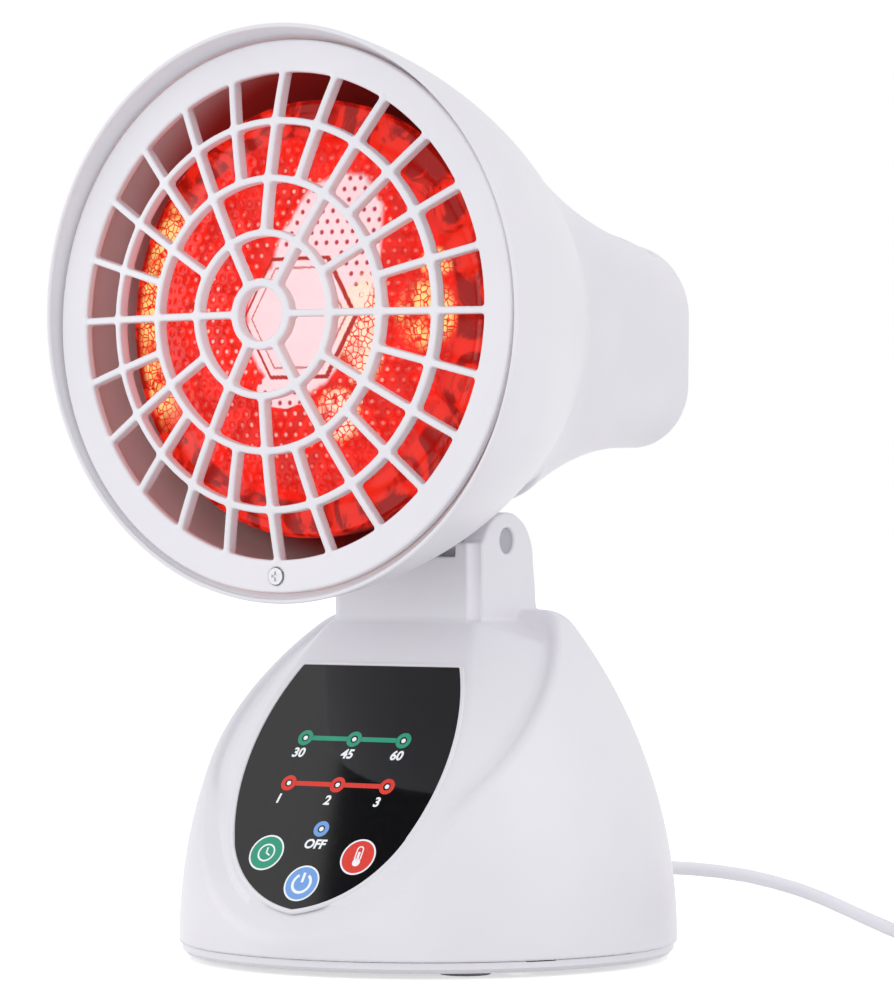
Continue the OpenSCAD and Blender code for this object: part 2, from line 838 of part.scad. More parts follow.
seat_s = grille_t + fit;
seat_t = 2;
flange_t = 2.4;
flange_open_r = 21.5;
housing_screw_c = (bell_back_r - 5.1) / sqrt(2);
module bell_shell() color([0.93, 0.92, 0.94]) {
    rib_w = 1.6;
    lip_reach = 1.5 * bell_r;
    in_head()
        difference() {
            union() {
                difference() {
                    union() {
                        bell_solid();
                        knuckle();
                    }
                    turned() bell_section(-head_wall, bell_len - flange_t);
                    // the lip leans forward at its top
                    translate([0, -lip_lead, 0])
                        rotate([lip_lean, 0, 0])
                            translate([-lip_reach, -lip_reach, -lip_reach])
                                cube([2 * lip_reach, lip_reach, 2 * lip_reach]);
                }
                // ledge that the grille rests on
                turned()
                    difference() {
                        intersection() {
                            bell_section(-head_wall / 2, bell_len);
                            translate([0, seat_s]) square([bell_r, seat_t]);
                        }
                        square([grille_r - 4, 20]);
                    }
                // boss for the grille screw
                translate([0, seat_s, -grille_screw_r]) {
                    rod_y(2.8, 9);
                    translate([-1.2, 0, -5]) cube([2.4, 9, 4]);
                }
                // ribs that centre the grille
                for (a = [-90 - 18, -90 + 18, 90])
                    rotate([0, -a, 0])
                        translate([grille_r + fit, -1.5, -rib_w / 2]) cube([1.4, 6, rib_w]);
            }
            translate([0, -eps, -grille_screw_r]) rod_y(1.25, 11);
            // bore of the knuckle, and the way for the lamp's wires beside it
            translate([-40, pivot_back, -axis_h])
                rotate([0, 90, 0]) cylinder(d = bolt_d + 2 * bolt_play, h = 80);
            translate([0, pivot_back + wire_y - pivot_y, -axis_h - 20]) cylinder(r = 1.9, h = 38);
            // opening for the socket and screw holes in the back wall
            translate([0, bell_len - 10, 0]) rod_y(flange_open_r, 20);
            for (x = [-1, 1], z = [-1, 1])
                translate([x * housing_screw_c, bell_len - 10, z * housing_screw_c]) rod_y(1.6, 20);
        }
}

// =====================================================================
// Rear housing
// =====================================================================

flare_start = 75;
flare_end = 168;
merge_end = 92;
merge_rise = 7.2;
// Half of the housing's section on one side of its middle, from the flared
// face inward, for turning about the flare's axis
module housing_profile(g) {
    c = housing_corner + g;
    w = housing_half_w + g;
    r = flare_r - g;
    deep = 62;
    translate([r, -w + c]) square([deep, 2 * (w - c)]);
    translate([r + c, -w]) square([deep - c, 2 * w]);
    for (y = [-w + c, w - c]) translate([r + c, y]) circle(c);
}

// The box behind the bell, g outside its surface: flared at top and bottom,
// bevelled at the back, and closing onto the bell at the front
module housing_form(g, end) {
    reach = 90;
    difference() {
        for (m = [0, 1])
            mirror([0, 0, m])
                intersection() {
                    translate([0, flare_end, housing_half_h + flare_r])
                        rotate([0, 90, 0])
                            rotate([0, 0, -40])
                                rotate_extrude(angle = 44, $fn = 180) housing_profile(g);
                    translate([-reach, flare_start - 5, 0]) cube([2 * reach, end - flare_start + 5, reach]);
                }
        for (v = [[0, housing_half_h], [90, housing_half_w], [180, housing_half_h], [270, housing_half_w]])
            rotate([0, v[0], 0])
                translate([0, end, v[1] + g - rear_bevel])
                    rotate([-45, 0, 0])
                        translate([-reach, -reach, 0]) cube([2 * reach, 2 * reach, 20]);
        turned()
            polygon([
                [bell_radius(flare_start) + g, flare_start], [bell_radius(merge_end) + merge_rise + g, merge_end],
                [2 * reach, merge_end], [2 * reach, flare_start - 10], [bell_radius(flare_start) + g, flare_start - 10]
            ]);
    }
}

bracket_s = 150;
bracket_t = 1.5;
bracket_boss_x = 23.5;
bracket_boss_r = 3.4;
housing_boss_len = 18;
// Cooling slots: seven along the top, and seven across the back
slot_pitch = 7;
slot_start = bell_len + 7;
slot_end = housing_end - 8.5;
rear_slot_pitch = 6;
module rear_housing() color([0.93, 0.92, 0.94]) {
    in_head()
        difference() {
            union() {
                difference() {
                    housing_form(0, housing_end);
                    housing_form(-head_wall, housing_end - head_wall);
                }
                // bosses for the screws through the bell's back wall
                for (x = [-1, 1], z = [-1, 1])
                    translate([x * housing_screw_c, bell_len + 0.1, z * housing_screw_c]) {
                        rod_y(3.2, housing_boss_len);
                        rib_l = housing_half_w - housing_screw_c - head_wall / 2;
                        translate([x > 0 ? 0 : -rib_l, 0, -1]) cube([rib_l, housing_boss_len, 2]);
                    }
                // bosses for the socket bracket
                for (x = [-1, 1])
                    translate([x * bracket_boss_x, bracket_s + bracket_t, 0])
                        rod_y(bracket_boss_r, housing_end - head_wall - bracket_s - bracket_t + eps);
            }
            bell_solid(0.1);
            // cut-out for the knuckle
            translate([-knuckle_half_w - 0.3, pivot_back - 20, -axis_h - 20])
                cube([2 * knuckle_half_w + 0.6, 20 + knuckle_r + 0.3, 40]);
            for (x = [-1, 1], z = [-1, 1])
                translate([x * housing_screw_c, bell_len, z * housing_screw_c])
                    rod_y(1.1, housing_boss_len - 2);
            for (x = [-1, 1])
                translate([x * bracket_boss_x, bracket_s, 0]) rod_y(1.1, 16);
            // cooling slots along the top and across the back
            for (x = [-3 * slot_pitch : slot_pitch : 3 * slot_pitch])
                translate([x - slot_half_w, slot_start, housing_half_h / 2])
                    cube([2 * slot_half_w, slot_end - slot_start, housing_half_h]);
            for (z = [-3 * rear_slot_pitch : rear_slot_pitch : 3 * rear_slot_pitch])
                translate([-housing_half_w / 2, housing_end - head_wall - 1, z - slot_half_w])
                    cube([housing_half_w, 2 * head_wall, 2 * slot_half_w]);
        }
}

module housing_screws() color([0.7, 0.7, 0.72]) {
    in_head()
        for (x = [-1, 1], z = [-1, 1])
            translate([x * housing_screw_c, bell_len - flange_t, z * housing_screw_c])
                rotate([90, 0, 0]) screw(2.8, 1.6, 1.05, flange_t + 10);
}

// =====================================================================
// Grille
// =====================================================================

module ring(r) {
    difference() {
        circle(r + bar_w / 2);
        circle(r - bar_w / 2);
    }
}

module spokes(count, r_in, r_out) {
    for (i = [0 : count - 1])
        rotate(i * 360 / count)
            translate([r_in, -bar_w / 2]) square([r_out - r_in, bar_w]);
}

module grille_pattern() {
    ring(ring_1_r);
    ring(ring_2_r);
    ring(ring_3_r);
    spokes(24, ring_2_r, grille_open_r + 1);
    spokes(12, ring_3_r, ring_2_r);
    difference() {
        union() {
            spokes(6, 0, ring_3_r);
            circle(hub_r);
        }
        circle(hub_hole_r);
    }
}

module front_grille() color([0.94, 0.93, 0.95]) {
    bulge_r = (pow(grille_open_r, 2) + pow(grille_bulge, 2)) / (2 * grille_bulge);
    in_head()
        difference() {
            union() {
                intersection() {
                    rotate([90, 0, 0])
                        translate([0, 0, -bar_d - 1])
                            linear_extrude(grille_bulge + bar_d + 4) grille_pattern();
                    translate([0, bulge_r - grille_bulge, 0])
                        difference() {
                            sphere(bulge_r, $fn = 180);
                            translate([0, bar_d, 0]) sphere(bulge_r, $fn = 180);
                        }
                }
                turned()
                    polygon([
                        [grille_open_r, 0], [grille_r - 0.8, 0], [grille_r, 0.8],
                        [grille_r, grille_t], [grille_open_r, grille_t]
                    ]);
            }
            translate([0, -1, -grille_screw_r]) rod_y(1.5, 10);
            translate([0, -1, -grille_screw_r]) rod_y(2.6, 1.8);
        }
}

module grille_screw() color([0.85, 0.85, 0.86]) {
    in_head()
        translate([0, 0.8, -grille_screw_r])
            rotate([90, 0, 0]) screw(2.3, 1.2, 1.2, 9);
}

// =====================================================================
// Bulb
// =====================================================================

lens_edge = bulb_front + lens_bulge;
bowl_pts = 12;
// Radius of the reflector bowl at distance s behind its rim
neck_r = 15.5;
function bowl_radius(f) = neck_r + (bulb_r - neck_r) * pow(cos(90 * f), 0.85);

module bulb_lens() color([0.85, 0.1, 0.08]) {
    lens_sphere_r = (pow(bulb_r - 3, 2) + pow(lens_bulge, 2)) / (2 * lens_bulge);
    hexagon_r = 19;
    in_head() {
        turned() {
            intersection() {
                difference() {
                    translate([0, bulb_front + lens_sphere_r]) circle(lens_sphere_r, $fn = 720);
                    translate([0, bulb_front + glass_t + lens_sphere_r]) circle(lens_sphere_r, $fn = 720);
                }
                square([bulb_r - 2.5, lens_edge + 3]);
            }
            translate([bulb_r - 4, lens_edge - 0.6]) square([4, 3.6]);
        }
        translate([0, bulb_front - 0.6, 0])
            rotate([-90, 0, 0]) cylinder(r = hexagon_r, h = 1.6, $fn = 6);
    }
}

bowl_start = lens_edge + 3;
bulb_tip = bulb_front + bulb_len;
contact_len = 2.5;
cap_in_r = cap_r - 1.5;
cap_start = bulb_tip - contact_len - cap_len;
neck_len = 24.5;
bowl_len = cap_start - neck_len - bowl_start;
module bulb_reflector() color([0.7, 0.12, 0.1]) {
    outer = [for (i = [0 : bowl_pts]) [bowl_radius(i / bowl_pts), bowl_start + bowl_len * i / bowl_pts]];
    inner = [for (i = [bowl_pts : -1 : 0])
        [bowl_radius(i / bowl_pts) - glass_t, bowl_start + bowl_len * i / bowl_pts]];
    in_head()
        turned()
            polygon(concat(
                outer,
                [for (v = [[0, -1], [0, 3], [glass_t, 3], [glass_t, -1]]) [cap_in_r - fit - v[0], cap_start + v[1]]],
                inner
            ));
}

module bulb_cap() color([0.8, 0.72, 0.5]) {
    thread_pitch = 3.6;
    in_head() {
        turned()
            difference() {
                union() {
                    translate([cap_in_r, cap_start]) square([1, cap_len]);
                    for (i = [0 : 5])
                        translate([cap_r - 0.9, cap_start + 3 + i * thread_pitch]) circle(0.8, $fn = 24);
                }
                square([cap_in_r, 200]);
            }
        translate([0, cap_start + cap_len - 1, 0]) rod_y(cap_in_r + eps, 1);
        translate([0, cap_start + cap_len - eps, 0]) rod_y(4.5, contact_len + eps);
    }
}

// Filament bowed across the middle of the reflector, on two stiff leads
filament_s = 60;
module bulb_filament() color([0.95, 0.8, 0.4]) {
    half_span = 8.4;
    lead_r = 0.6;
    in_head() {
        translate([0, filament_s, 0])
            mirror([0, 1, 0])
                rotate_extrude(angle = 180, $fn = 48)
                    translate([half_span, 0]) circle(0.9, $fn = 16);
        for (x = [-1, 1]) {
            translate([x * half_span, filament_s, 0]) sphere(1, $fn = 24);
            translate([x * half_span, filament_s, 0])
                rod_y(lead_r, cap_start + cap_len - 1 - filament_s);
        }
    }
}

// =====================================================================
// Socket and what holds it
// =====================================================================

socket_start = bracket_s - socket_len;
bore_r = cap_r + 1;
module lamp_socket() color([0.93, 0.92, 0.88]) {
    in_head()
        difference() {
            translate([0, socket_start, 0]) rod_y(socket_r, socket_len);
            translate([0, socket_start - 1, 0]) rod_y(bore_r, socket_len - 2.4);
            for (z = [-1, 1])
                translate([0, bracket_s - 3, z * 7]) rod_y(1.1, 5);
        }
}

module socket_sleeve() color([0.8, 0.66, 0.35]) {
    in_head()
        translate([0, socket_start + 4, 0])
            difference() {
                rod_y(bore_r, cap_len - 2);
                translate([0, -1, 0]) rod_y(cap_r + 0.5, cap_len + 2);
            }
}

module socket_contact() color([0.8, 0.66, 0.35]) {
    in_head()
        translate([0, bulb_tip + 0.02, 0]) {
            rod_y(3.4, 0.6);
            rod_y(1.6, bracket_s - 3.4 - bulb_tip - 0.02);
        }
}

module socket_bracket() color([0.75, 0.76, 0.78]) {
    half_h = 11;
    in_head()
        difference() {
            translate([-bracket_boss_x - 3.6, bracket_s, -half_h])
                cube([2 * (bracket_boss_x + 3.6), bracket_t, 2 * half_h]);
            for (z = [-1, 1]) translate([0, bracket_s - 1, z * 7]) rod_y(1.5, 5);
            for (x = [-1, 1]) translate([x * bracket_boss_x, bracket_s - 1, 0]) rod_y(1.5, 5);
        }
}

module bracket_screws() color([0.7, 0.7, 0.72]) {
    in_head()
        for (x = [-1, 1])
            translate([x * bracket_boss_x, bracket_s, 0])
                rotate([90, 0, 0]) screw(2.8, 1.6, 1.05, bracket_t + 12);
}

module socket_screws() color([0.7, 0.7, 0.72]) {
    in_head()
        for (z = [-1, 1])
            translate([0, bracket_s + bracket_t, z * 7])
                rotate([-90, 0, 0]) screw(2.6, 1.5, 1.05, bracket_t + 2.6);
}

cutout_x = 11.5;
module thermal_cutout() color([0.2, 0.2, 0.22]) {
    in_head() {
        translate([cutout_x - 4, bracket_s + bracket_t, -8]) cube([8, 5, 16]);
        for (z = [-8, 8])
            translate([cutout_x, bracket_s + bracket_t + 2.5, z - 2]) cylinder(r = 0.8, h = 4);
    }
}

// Two insulated wires from the socket's back, along the housing and the bell,
// to the way down beside the hinge
wire_r = 0.85;
wire_sides = 8;
wire_path = [
    [0, bracket_s + 6, -12.1], [0, bracket_s + 2, -24], [0, bell_len + 13, -26.5],
    [0, bell_len - 1.5, -flange_open_r + 1.5], [0, bell_len - 6, -flange_open_r + 1.5],
    [0, bell_len - 13, -33], [0, pivot_back + wire_y - pivot_y, -46],
    [0, pivot_back + wire_y - pivot_y, -axis_h - 6.5]
];
module head_wires() color([0.85, 0.85, 0.8]) {
    in_head()
        for (x = [-0.95, 0.95])
            translate([x, 0, 0]) tube(wire_path, wire_r, wire_sides, [1, 0, 0]);
}

// =====================================================================
// Mains lead
// =====================================================================

relief_len = 26;
relief_end = base_r + relief_len;
module strain_relief() color([0.9, 0.89, 0.91]) {
    flange_r = 6;
    translate([0, 0, cord_hole_z]) {
        // shoulder inside the wall, barrel through it, collar and taper outside
        translate([0, base_r - base_wall - 4, 0]) rod_y(flange_r, 2.4);
        translate([0, base_r - base_wall - 4, 0]) rod_y(relief_seat_r - 0.06, 8);
        translate([0, base_r + 0.6, 0]) rod_y(flange_r - 0.8, 2.4);
        translate([0, base_r + 2, 0])
            rotate([-90, 0, 0])
                cylinder(r1 = relief_seat_r + 0.6, r2 = cord_d / 2 + 0.5, h = relief_len - 2);
    }
}

// A round tube along points, closed at both ends; "across" is a direction
// that the tube never runs along
function unit(v) = v / norm(v);
function tube_heading(p, i) =
    unit(i == 0 ? p[1] - p[0] : i == len(p) - 1 ? p[i] - p[i - 1] : unit(p[i + 1] - p[i]) + unit(p[i] - p[i - 1]));
function tube_ring(p, i, r, sides, across) =
    let (
        t = tube_heading(p, i),
        side = unit(cross(t, across)),
        up = cross(side, t)
    )
        [for (k = [0 : sides - 1]) p[i] + r * (cos(360 * (k + 0.5) / sides) * side + sin(360 * (k + 0.5) / sides) * up)];

module tube(p, r, sides, across = [0, 0, 1]) {
    n = len(p);
    points = [for (i = [0 : n - 1]) each tube_ring(p, i, r, sides, across)];
    faces = [
        for (i = [0 : n - 2], k = [0 : sides - 1])
            let (
                m = (k + 1) % sides,
                a = i * sides + k, b = i * sides + m,
                c = (i + 1) * sides + m, d = (i + 1) * sides + k
            )
                each [[a, b, c], [a, c, d]],
        for (k = [1 : sides - 2]) each [
            [0, k + 1, k],
            [(n - 1) * sides, (n - 1) * sides + k, (n - 1) * sides + k + 1]
        ]
    ];
    polyhedron(points = points, faces = faces, convexity = 6);
}

cord_r = cord_d / 2;
cord_sides = 10;
// Places of the lead and its coil on the floor behind the base
coil_x = 134;
coil_y = 118;
coil_z = cord_r + tie_t + 0.2;
coil_layers = 4;
coil_sides = 6;
turn_pts = 24;
coil_in_r = coil_mean_r - coil_turns * coil_pitch / 2;
coil_total = coil_layers * coil_turns;
start_angle = -90;

function layer_of(t) = min(floor(t / coil_turns), coil_layers - 1);
function coil_radius(t) =
    let (k = layer_of(t), f = t - k * coil_turns)
        k % 2 == 0 ? coil_in_r + coil_pitch * (coil_turns - f) : coil_in_r + coil_pitch * f;
// Height in layers: each climb fills the half turn about a reversal
function climb(t, k) = min(max((t - k * coil_turns + 0.25) * 2, 0), 1);
function coil_height(t) = coil_z + coil_pitch * (climb(t, 1) + climb(t, 2) + climb(t, 3));
function coil_point(t) =
    let (a = start_angle + 360 * t, r = coil_radius(t))
        [coil_x + r * cos(a), coil_y + r * sin(a), coil_height(t)];
coil_steps = round(coil_total * turn_pts);
coil_out_r = coil_in_r + coil_turns * coil_pitch;
coil_start = coil_point(0);
coil_end = coil_point(coil_total);
coil_top_z = coil_end[2];
coil_path = concat(
    [coil_start - [cord_d, 0, 0]],
    [for (i = [0 : coil_steps]) coil_point(i * coil_total / coil_steps)],
    [coil_end + [0, cord_d, 0]]
);

// Least gap between two stretches of the coil that lie beside each other
apart = turn_pts / 2;
coil_gap = min([
    for (i = [0 : len(coil_path) - 1 - apart])
        min([for (j = [i + apart : len(coil_path) - 1]) norm(coil_path[i] - coil_path[j])])
]) - cord_d;
echo("least gap between turns of the coil, mm", coil_gap);

// The lead's free run, from the strain relief over the floor to the coil
cord_route = [
    [0, relief_end, cord_hole_z], [0, 102, 19], [1.4, 109, 18.9], [5.3, 114.7, 18.8],
    [11, 118.6, 18.6], [18, 120.2, 18.4], [27, 120.8, 17.9], [37, 120.6, 17],
    [46, 120.2, 15.6], [55, 119.6, 13.8], [64, 118.6, 11.5], [73, 117, 8.8],
    [82, 114.8, 6.2], [91, 111.4, 4.1], [99, 107, 2.9], [106, 101.8, 2.3],
    [112.5, 96, 2.2], [119, 91, 2.4], [124.5, 88.4, 2.7]
];
cord_points = concat(cord_route, [coil_path[0]]);

plug_x = 132;
plug_y = 166;
plug_z = 9;
plug_tail = 20;
// The short end of the lead, from the top of the coil down to the plug
lead_route = [
    [164.6, 130, 16.7], [162.6, 138, 15.6], [158.4, 147, 13.8],
    [151.8, 155.4, 11.6], [144, 161.4, 9.9]
];

module power_cord() color([0.93, 0.92, 0.94]) tube(cord_points, cord_r, cord_sides);
module cord_coil() color([0.93, 0.92, 0.94]) tube(coil_path, cord_r, coil_sides);
module plug_lead() color([0.93, 0.92, 0.94])
    tube(concat([coil_path[len(coil_path) - 1]], lead_route, [[plug_x + 5, plug_y - 0.6, plug_z]]), cord_r, cord_sides);

module cord_tie() color([0.2, 0.2, 0.22]) {
    tie_w = 8;
    room = 0.6;
    inner_w = coil_out_r - coil_in_r + cord_d + 2 * room;
    inner_h = coil_top_z + cord_r + 0.3 - tie_t;
    translate([coil_x, coil_y, 0])
        rotate(160)
            translate([coil_in_r - cord_r - room - tie_t, -tie_w / 2, 0])
                difference() {
                    cube([inner_w + 2 * tie_t, tie_w, inner_h + 2 * tie_t]);
                    translate([tie_t, -1, tie_t]) cube([inner_w, tie_w + 2, inner_h]);
                }
}

// Plug, lying on its wide side with its blades toward -X
plug_len = 26;
plug_half_w = 12;
module plug_body() color([0.93, 0.92, 0.94]) {
    grip_r = 9;
    translate([plug_x, plug_y, plug_z]) {
        intersection() {
            translate([-plug_tail - plug_len, -plug_half_w, -plug_z]) cube([plug_len, 2 * plug_half_w, 2 * plug_z]);
            rotate([0, -90, 0]) translate([0, 0, plug_tail]) cylinder(r = plug_half_w + 1, h = plug_len);
        }
        rotate([0, -90, 0]) translate([0, 0, plug_tail - 8]) cylinder(r1 = 4.2, r2 = grip_r - 1, h = 8 + eps);
        rotate([0, -90, 0]) translate([0, 0, -4]) cylinder(r1 = cord_r + 0.6, r2 = 4.2, h = plug_tail - 4 + eps);
    }
}

module plug_blades() color([0.8, 0.74, 0.55]) {
    blade_gap = 12.7;
    blade_w = 6.3;
    blade_t = 1.5;
    blade_len = 17;
    for (y = [-blade_gap / 2, blade_gap / 2])
        translate([plug_x - plug_tail - plug_len - blade_len, plug_y + y - blade_t / 2, plug_z - blade_w / 2])
            cube([blade_len, blade_t, blade_w]);
}

base_shell();
base_plate();
rubber_feet();
plate_screws();
ballast_plate();
ballast_screws();
control_panel();
timer_pad();
heat_pad();
power_pad();
timer_lights();
heat_lights();
power_light();
control_board();
touch_springs();
control_screws();
power_board();
board_spacers();
board_screws();
heat_sink();
triac();
supply_capacitor();
mains_fuse();
relay();
terminal_block();
strain_relief();
hinge_bolt();
hinge_nut();
hinge_caps();
friction_washers();
bell_shell();
rear_housing();
housing_screws();
front_grille();
grille_screw();
bulb_lens();
bulb_reflector();
bulb_cap();
bulb_filament();
lamp_socket();
socket_sleeve();
socket_contact();
socket_bracket();
bracket_screws();
socket_screws();
thermal_cutout();
head_wires();
power_cord();
cord_coil();
cord_tie();
plug_lead();
plug_body();
plug_blades();
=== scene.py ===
import json
import math

import bmesh
import bpy
import numpy as np
from mathutils import Matrix, Vector


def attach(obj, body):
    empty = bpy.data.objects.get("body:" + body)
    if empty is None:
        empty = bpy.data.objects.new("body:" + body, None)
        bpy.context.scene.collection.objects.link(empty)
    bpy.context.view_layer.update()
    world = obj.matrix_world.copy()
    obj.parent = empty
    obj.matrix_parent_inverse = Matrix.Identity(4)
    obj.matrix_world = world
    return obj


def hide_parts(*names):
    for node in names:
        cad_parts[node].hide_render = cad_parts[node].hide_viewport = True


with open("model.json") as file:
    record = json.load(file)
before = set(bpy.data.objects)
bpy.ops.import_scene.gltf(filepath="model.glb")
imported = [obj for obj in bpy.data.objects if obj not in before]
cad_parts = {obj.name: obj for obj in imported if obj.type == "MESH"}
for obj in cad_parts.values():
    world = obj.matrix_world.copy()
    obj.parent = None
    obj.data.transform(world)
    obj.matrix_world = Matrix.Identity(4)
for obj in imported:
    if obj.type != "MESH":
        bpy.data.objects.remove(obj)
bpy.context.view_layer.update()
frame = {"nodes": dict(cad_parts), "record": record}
MM = 0.001
DEGREE = math.pi / 180

# ---------------------------------------------------------------- camera

CAMERA_AZIMUTH = 33.69 * DEGREE
CAMERA_PITCH = 0.29 * DEGREE
CAMERA_PLACE = Vector((739.8, -1100.0, 125.0)) * MM
FOCAL_MM = 165.2


def add_camera():
    data = bpy.data.cameras.new("camera")
    data.sensor_fit = "AUTO"
    data.sensor_width = 36.0
    data.lens = FOCAL_MM
    data.clip_start = 0.05
    camera = bpy.data.objects.new("camera", data)
    camera.location = CAMERA_PLACE
    camera.rotation_euler = (math.pi / 2 + CAMERA_PITCH, 0.0, CAMERA_AZIMUTH)
    bpy.context.scene.collection.objects.link(camera)
    bpy.context.scene.camera = camera


add_camera()

# ---------------------------------------------------------------- mains lead

CORD_D = 4.2
CORD_ROUTE = [
    (0, 97.8, 19), (0, 102, 19), (1.4, 109, 18.9), (5.3, 114.7, 18.8),
    (11, 118.6, 18.6), (18, 120.2, 18.4), (27, 120.8, 17.9), (37, 120.6, 17),
    (46, 120.2, 15.6), (55, 119.6, 13.8), (64, 118.6, 11.5), (73, 117, 8.8),
    (82, 114.8, 6.2), (91, 111.4, 4.1), (99, 107, 2.9), (106, 101.8, 2.3),
    (112.5, 96, 2.2), (119, 91, 2.4), (124.5, 88.4, 2.7),
]
LEAD_ROUTE = [
    (164.6, 130, 16.7), (162.6, 138, 15.6), (158.4, 147, 13.8),
    (151.8, 155.4, 11.6), (144, 161.4, 9.9), (137, 165.4, 9),
]
COIL = dict(x=134, y=118, z=CORD_D / 2 + 0.8, mean_r=24.4, pitch=4.8, turns=2.5625, layers=4, steps=24)


def coil_points():
    c = COIL
    inner = c["mean_r"] - c["turns"] * c["pitch"] / 2
    total = c["turns"] * c["layers"]

    def climb(t, k):
        return min(max((t - k * c["turns"] + 0.25) * 2, 0), 1)

    def point(t):
        k = min(int(t / c["turns"]), c["layers"] - 1)
        f = t - k * c["turns"]
        r = inner + c["pitch"] * ((c["turns"] - f) if k % 2 == 0 else f)
        a = math.radians(-90 + 360 * t)
        height = c["z"] + c["pitch"] * (climb(t, 1) + climb(t, 2) + climb(t, 3))
        return c["x"] + r * math.cos(a), c["y"] + r * math.sin(a), height

    steps = round(total * c["steps"])
    points = [point(i * total / steps) for i in range(steps + 1)]
    first, last = points[0], points[-1]
    return [(first[0] - CORD_D, first[1], first[2])] + points + [(last[0], last[1] + CORD_D, last[2])]


def lead_curve(name, points):
    data = bpy.data.curves.new(name, "CURVE")
    data.dimensions = "3D"
    data.bevel_depth = 1.0
    data.bevel_resolution = 4
    data.use_fill_caps = True
    spline = data.splines.new("POLY")
    spline.points.add(len(points) - 1)
    for p, co in zip(spline.points, points):
        p.co = (co[0] * MM, co[1] * MM, co[2] * MM, 1)
        p.radius = CORD_D / 2 * MM
    spline.use_smooth = True
    lead = bpy.data.objects.new(name, data)
    bpy.context.scene.collection.objects.link(lead)
    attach(lead, "base")
    return lead


route_mm = CORD_ROUTE + coil_points() + LEAD_ROUTE
mains_lead = lead_curve("mains_lead", route_mm)
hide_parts("power_cord", "cord_coil", "plug_lead")

# ---------------------------------------------------------------- moulded forms
# A form is a function of x, y, z in mm: negative inside, zero on the surface.


def both(a, b, r):
    """Where a and b meet, their common edge rounded to radius r."""
    return np.minimum(-r, np.maximum(a, b)) + np.hypot(np.maximum(r + a, 0), np.maximum(r + b, 0))


def either(a, b, r):
    """a joined to b with a fillet of radius r."""
    return -both(-a, -b, r)


def melted(a, b, reach):
    """a joined to b with a soft blend that starts where they are reach apart."""
    near = np.maximum(reach - np.abs(a - b), 0) / reach
    return np.minimum(a, b) - near ** 3 * reach / 6


def without(a, b, r):
    """a with b cut out of it, the cut's edge rounded to radius r."""
    return both(a, -b, r)


def smooth_step(t):
    t = np.clip(t, 0, 1)
    return t * t * (3 - 2 * t)


def slope_of(form, p, gap=0.02):
    here = form(*p)
    return here, np.stack([(form(*(p + gap * np.eye(3)[i][:, None])) - here) / gap for i in range(3)])


def settle(form, p, reach, rounds=3):
    """Moves points onto the form's surface, and gives their normals."""
    for _ in range(rounds):
        value, slope = slope_of(form, p)
        move = value * slope / np.maximum((slope ** 2).sum(0), 0.05)
        length = np.linalg.norm(move, axis=0)
        p = p - move * np.minimum(1, reach / np.maximum(length, 1e-9))
    slope = slope_of(form, p)[1]
    return p, slope / np.maximum(np.linalg.norm(slope, axis=0), 1e-9)


BLOCK = 8
CHUNK = 500
NEAR_BLOCKS = 1.2
FAR_OUT = 9.0


def form_values(form, low, cells, step):
    """The form on a grid, worked out only in the blocks near its surface."""
    counts = cells // BLOCK
    middle = np.stack(np.meshgrid(
        *[low[i] + step * BLOCK * (np.arange(counts[i]) + 0.5) for i in range(3)], indexing="ij"
    ))
    rough = form(*middle.reshape(3, -1)).reshape(counts)
    values = np.full(cells + 1, FAR_OUT, dtype=np.float32)
    spread = rough
    for axis in range(3):
        spread = np.repeat(spread, BLOCK, axis)
    values[:-1, :-1, :-1] = spread
    near = np.argwhere(np.abs(rough) < step * BLOCK * NEAR_BLOCKS)
    node = np.stack(np.meshgrid(*[np.arange(BLOCK + 1)] * 3, indexing="ij")).reshape(3, -1)
    for start in range(0, len(near), CHUNK):
        at = near[start:start + CHUNK].T[:, :, None] * BLOCK + node[:, None, :]
        at = at.reshape(3, -1)
        p = np.asarray(low)[:, None] + step * at
        values[tuple(at)] = form(*p)
    return values


def skin(form, low, high, step):
    """Even quads over the form's surface: their corners, faces and normals."""
    cells = (np.ceil((np.asarray(high) - low) / step / BLOCK) * BLOCK).astype(int)
    values = form_values(form, low, cells, step)
    inside = values < 0
    corner = [(i, j, k) for i in (0, 1) for j in (0, 1) for k in (0, 1)]
    filled = sum(
        inside[i:cells[0] + i, j:cells[1] + j, k:cells[2] + k].astype(np.int8) for i, j, k in corner
    )
    mixed = (filled > 0) & (filled < 8)
    at = np.argwhere(mixed).T
    level = {c: values[at[0] + c[0], at[1] + c[1], at[2] + c[2]].astype(float) for c in corner}
    total = np.zeros((3, at.shape[1]))
    hits = np.zeros(at.shape[1])
    for a in corner:
        for axis in range(3):
            if a[axis] == 1:
                continue
            b = tuple(1 if i == axis else a[i] for i in range(3))
            crosses = (level[a] < 0) != (level[b] < 0)
            share = np.where(crosses, level[a] / np.where(crosses, level[a] - level[b], 1), 0)
            for i in range(3):
                total[i] += np.where(crosses, a[i] + (share if i == axis else 0), 0)
            hits += crosses
    p = np.asarray(low)[:, None] + step * (at + total / hits)
    p, normals = settle(form, p, step * 0.6)
    ids = np.full(cells, -1, dtype=np.int32)
    ids[tuple(at)] = np.arange(at.shape[1])
    faces = []
    for axis in range(3):
        u, v = (axis + 1) % 3, (axis + 2) % 3
        turn = np.moveaxis(ids, (axis, u, v), (0, 1, 2))
        order = np.moveaxis(inside, (axis, u, v), (0, 1, 2))
        change = order[:-1, 1:-1, 1:-1] != order[1:, 1:-1, 1:-1]
        i, j, k = np.nonzero(change)
        quad = np.stack([turn[i, j, k], turn[i, j + 1, k], turn[i, j + 1, k + 1], turn[i, j, k + 1]], 1)
        outward = order[i, j + 1, k + 1]
        faces.append(np.where(outward[:, None], quad, quad[:, ::-1]))
    return p.T, np.concatenate(faces), normals.T


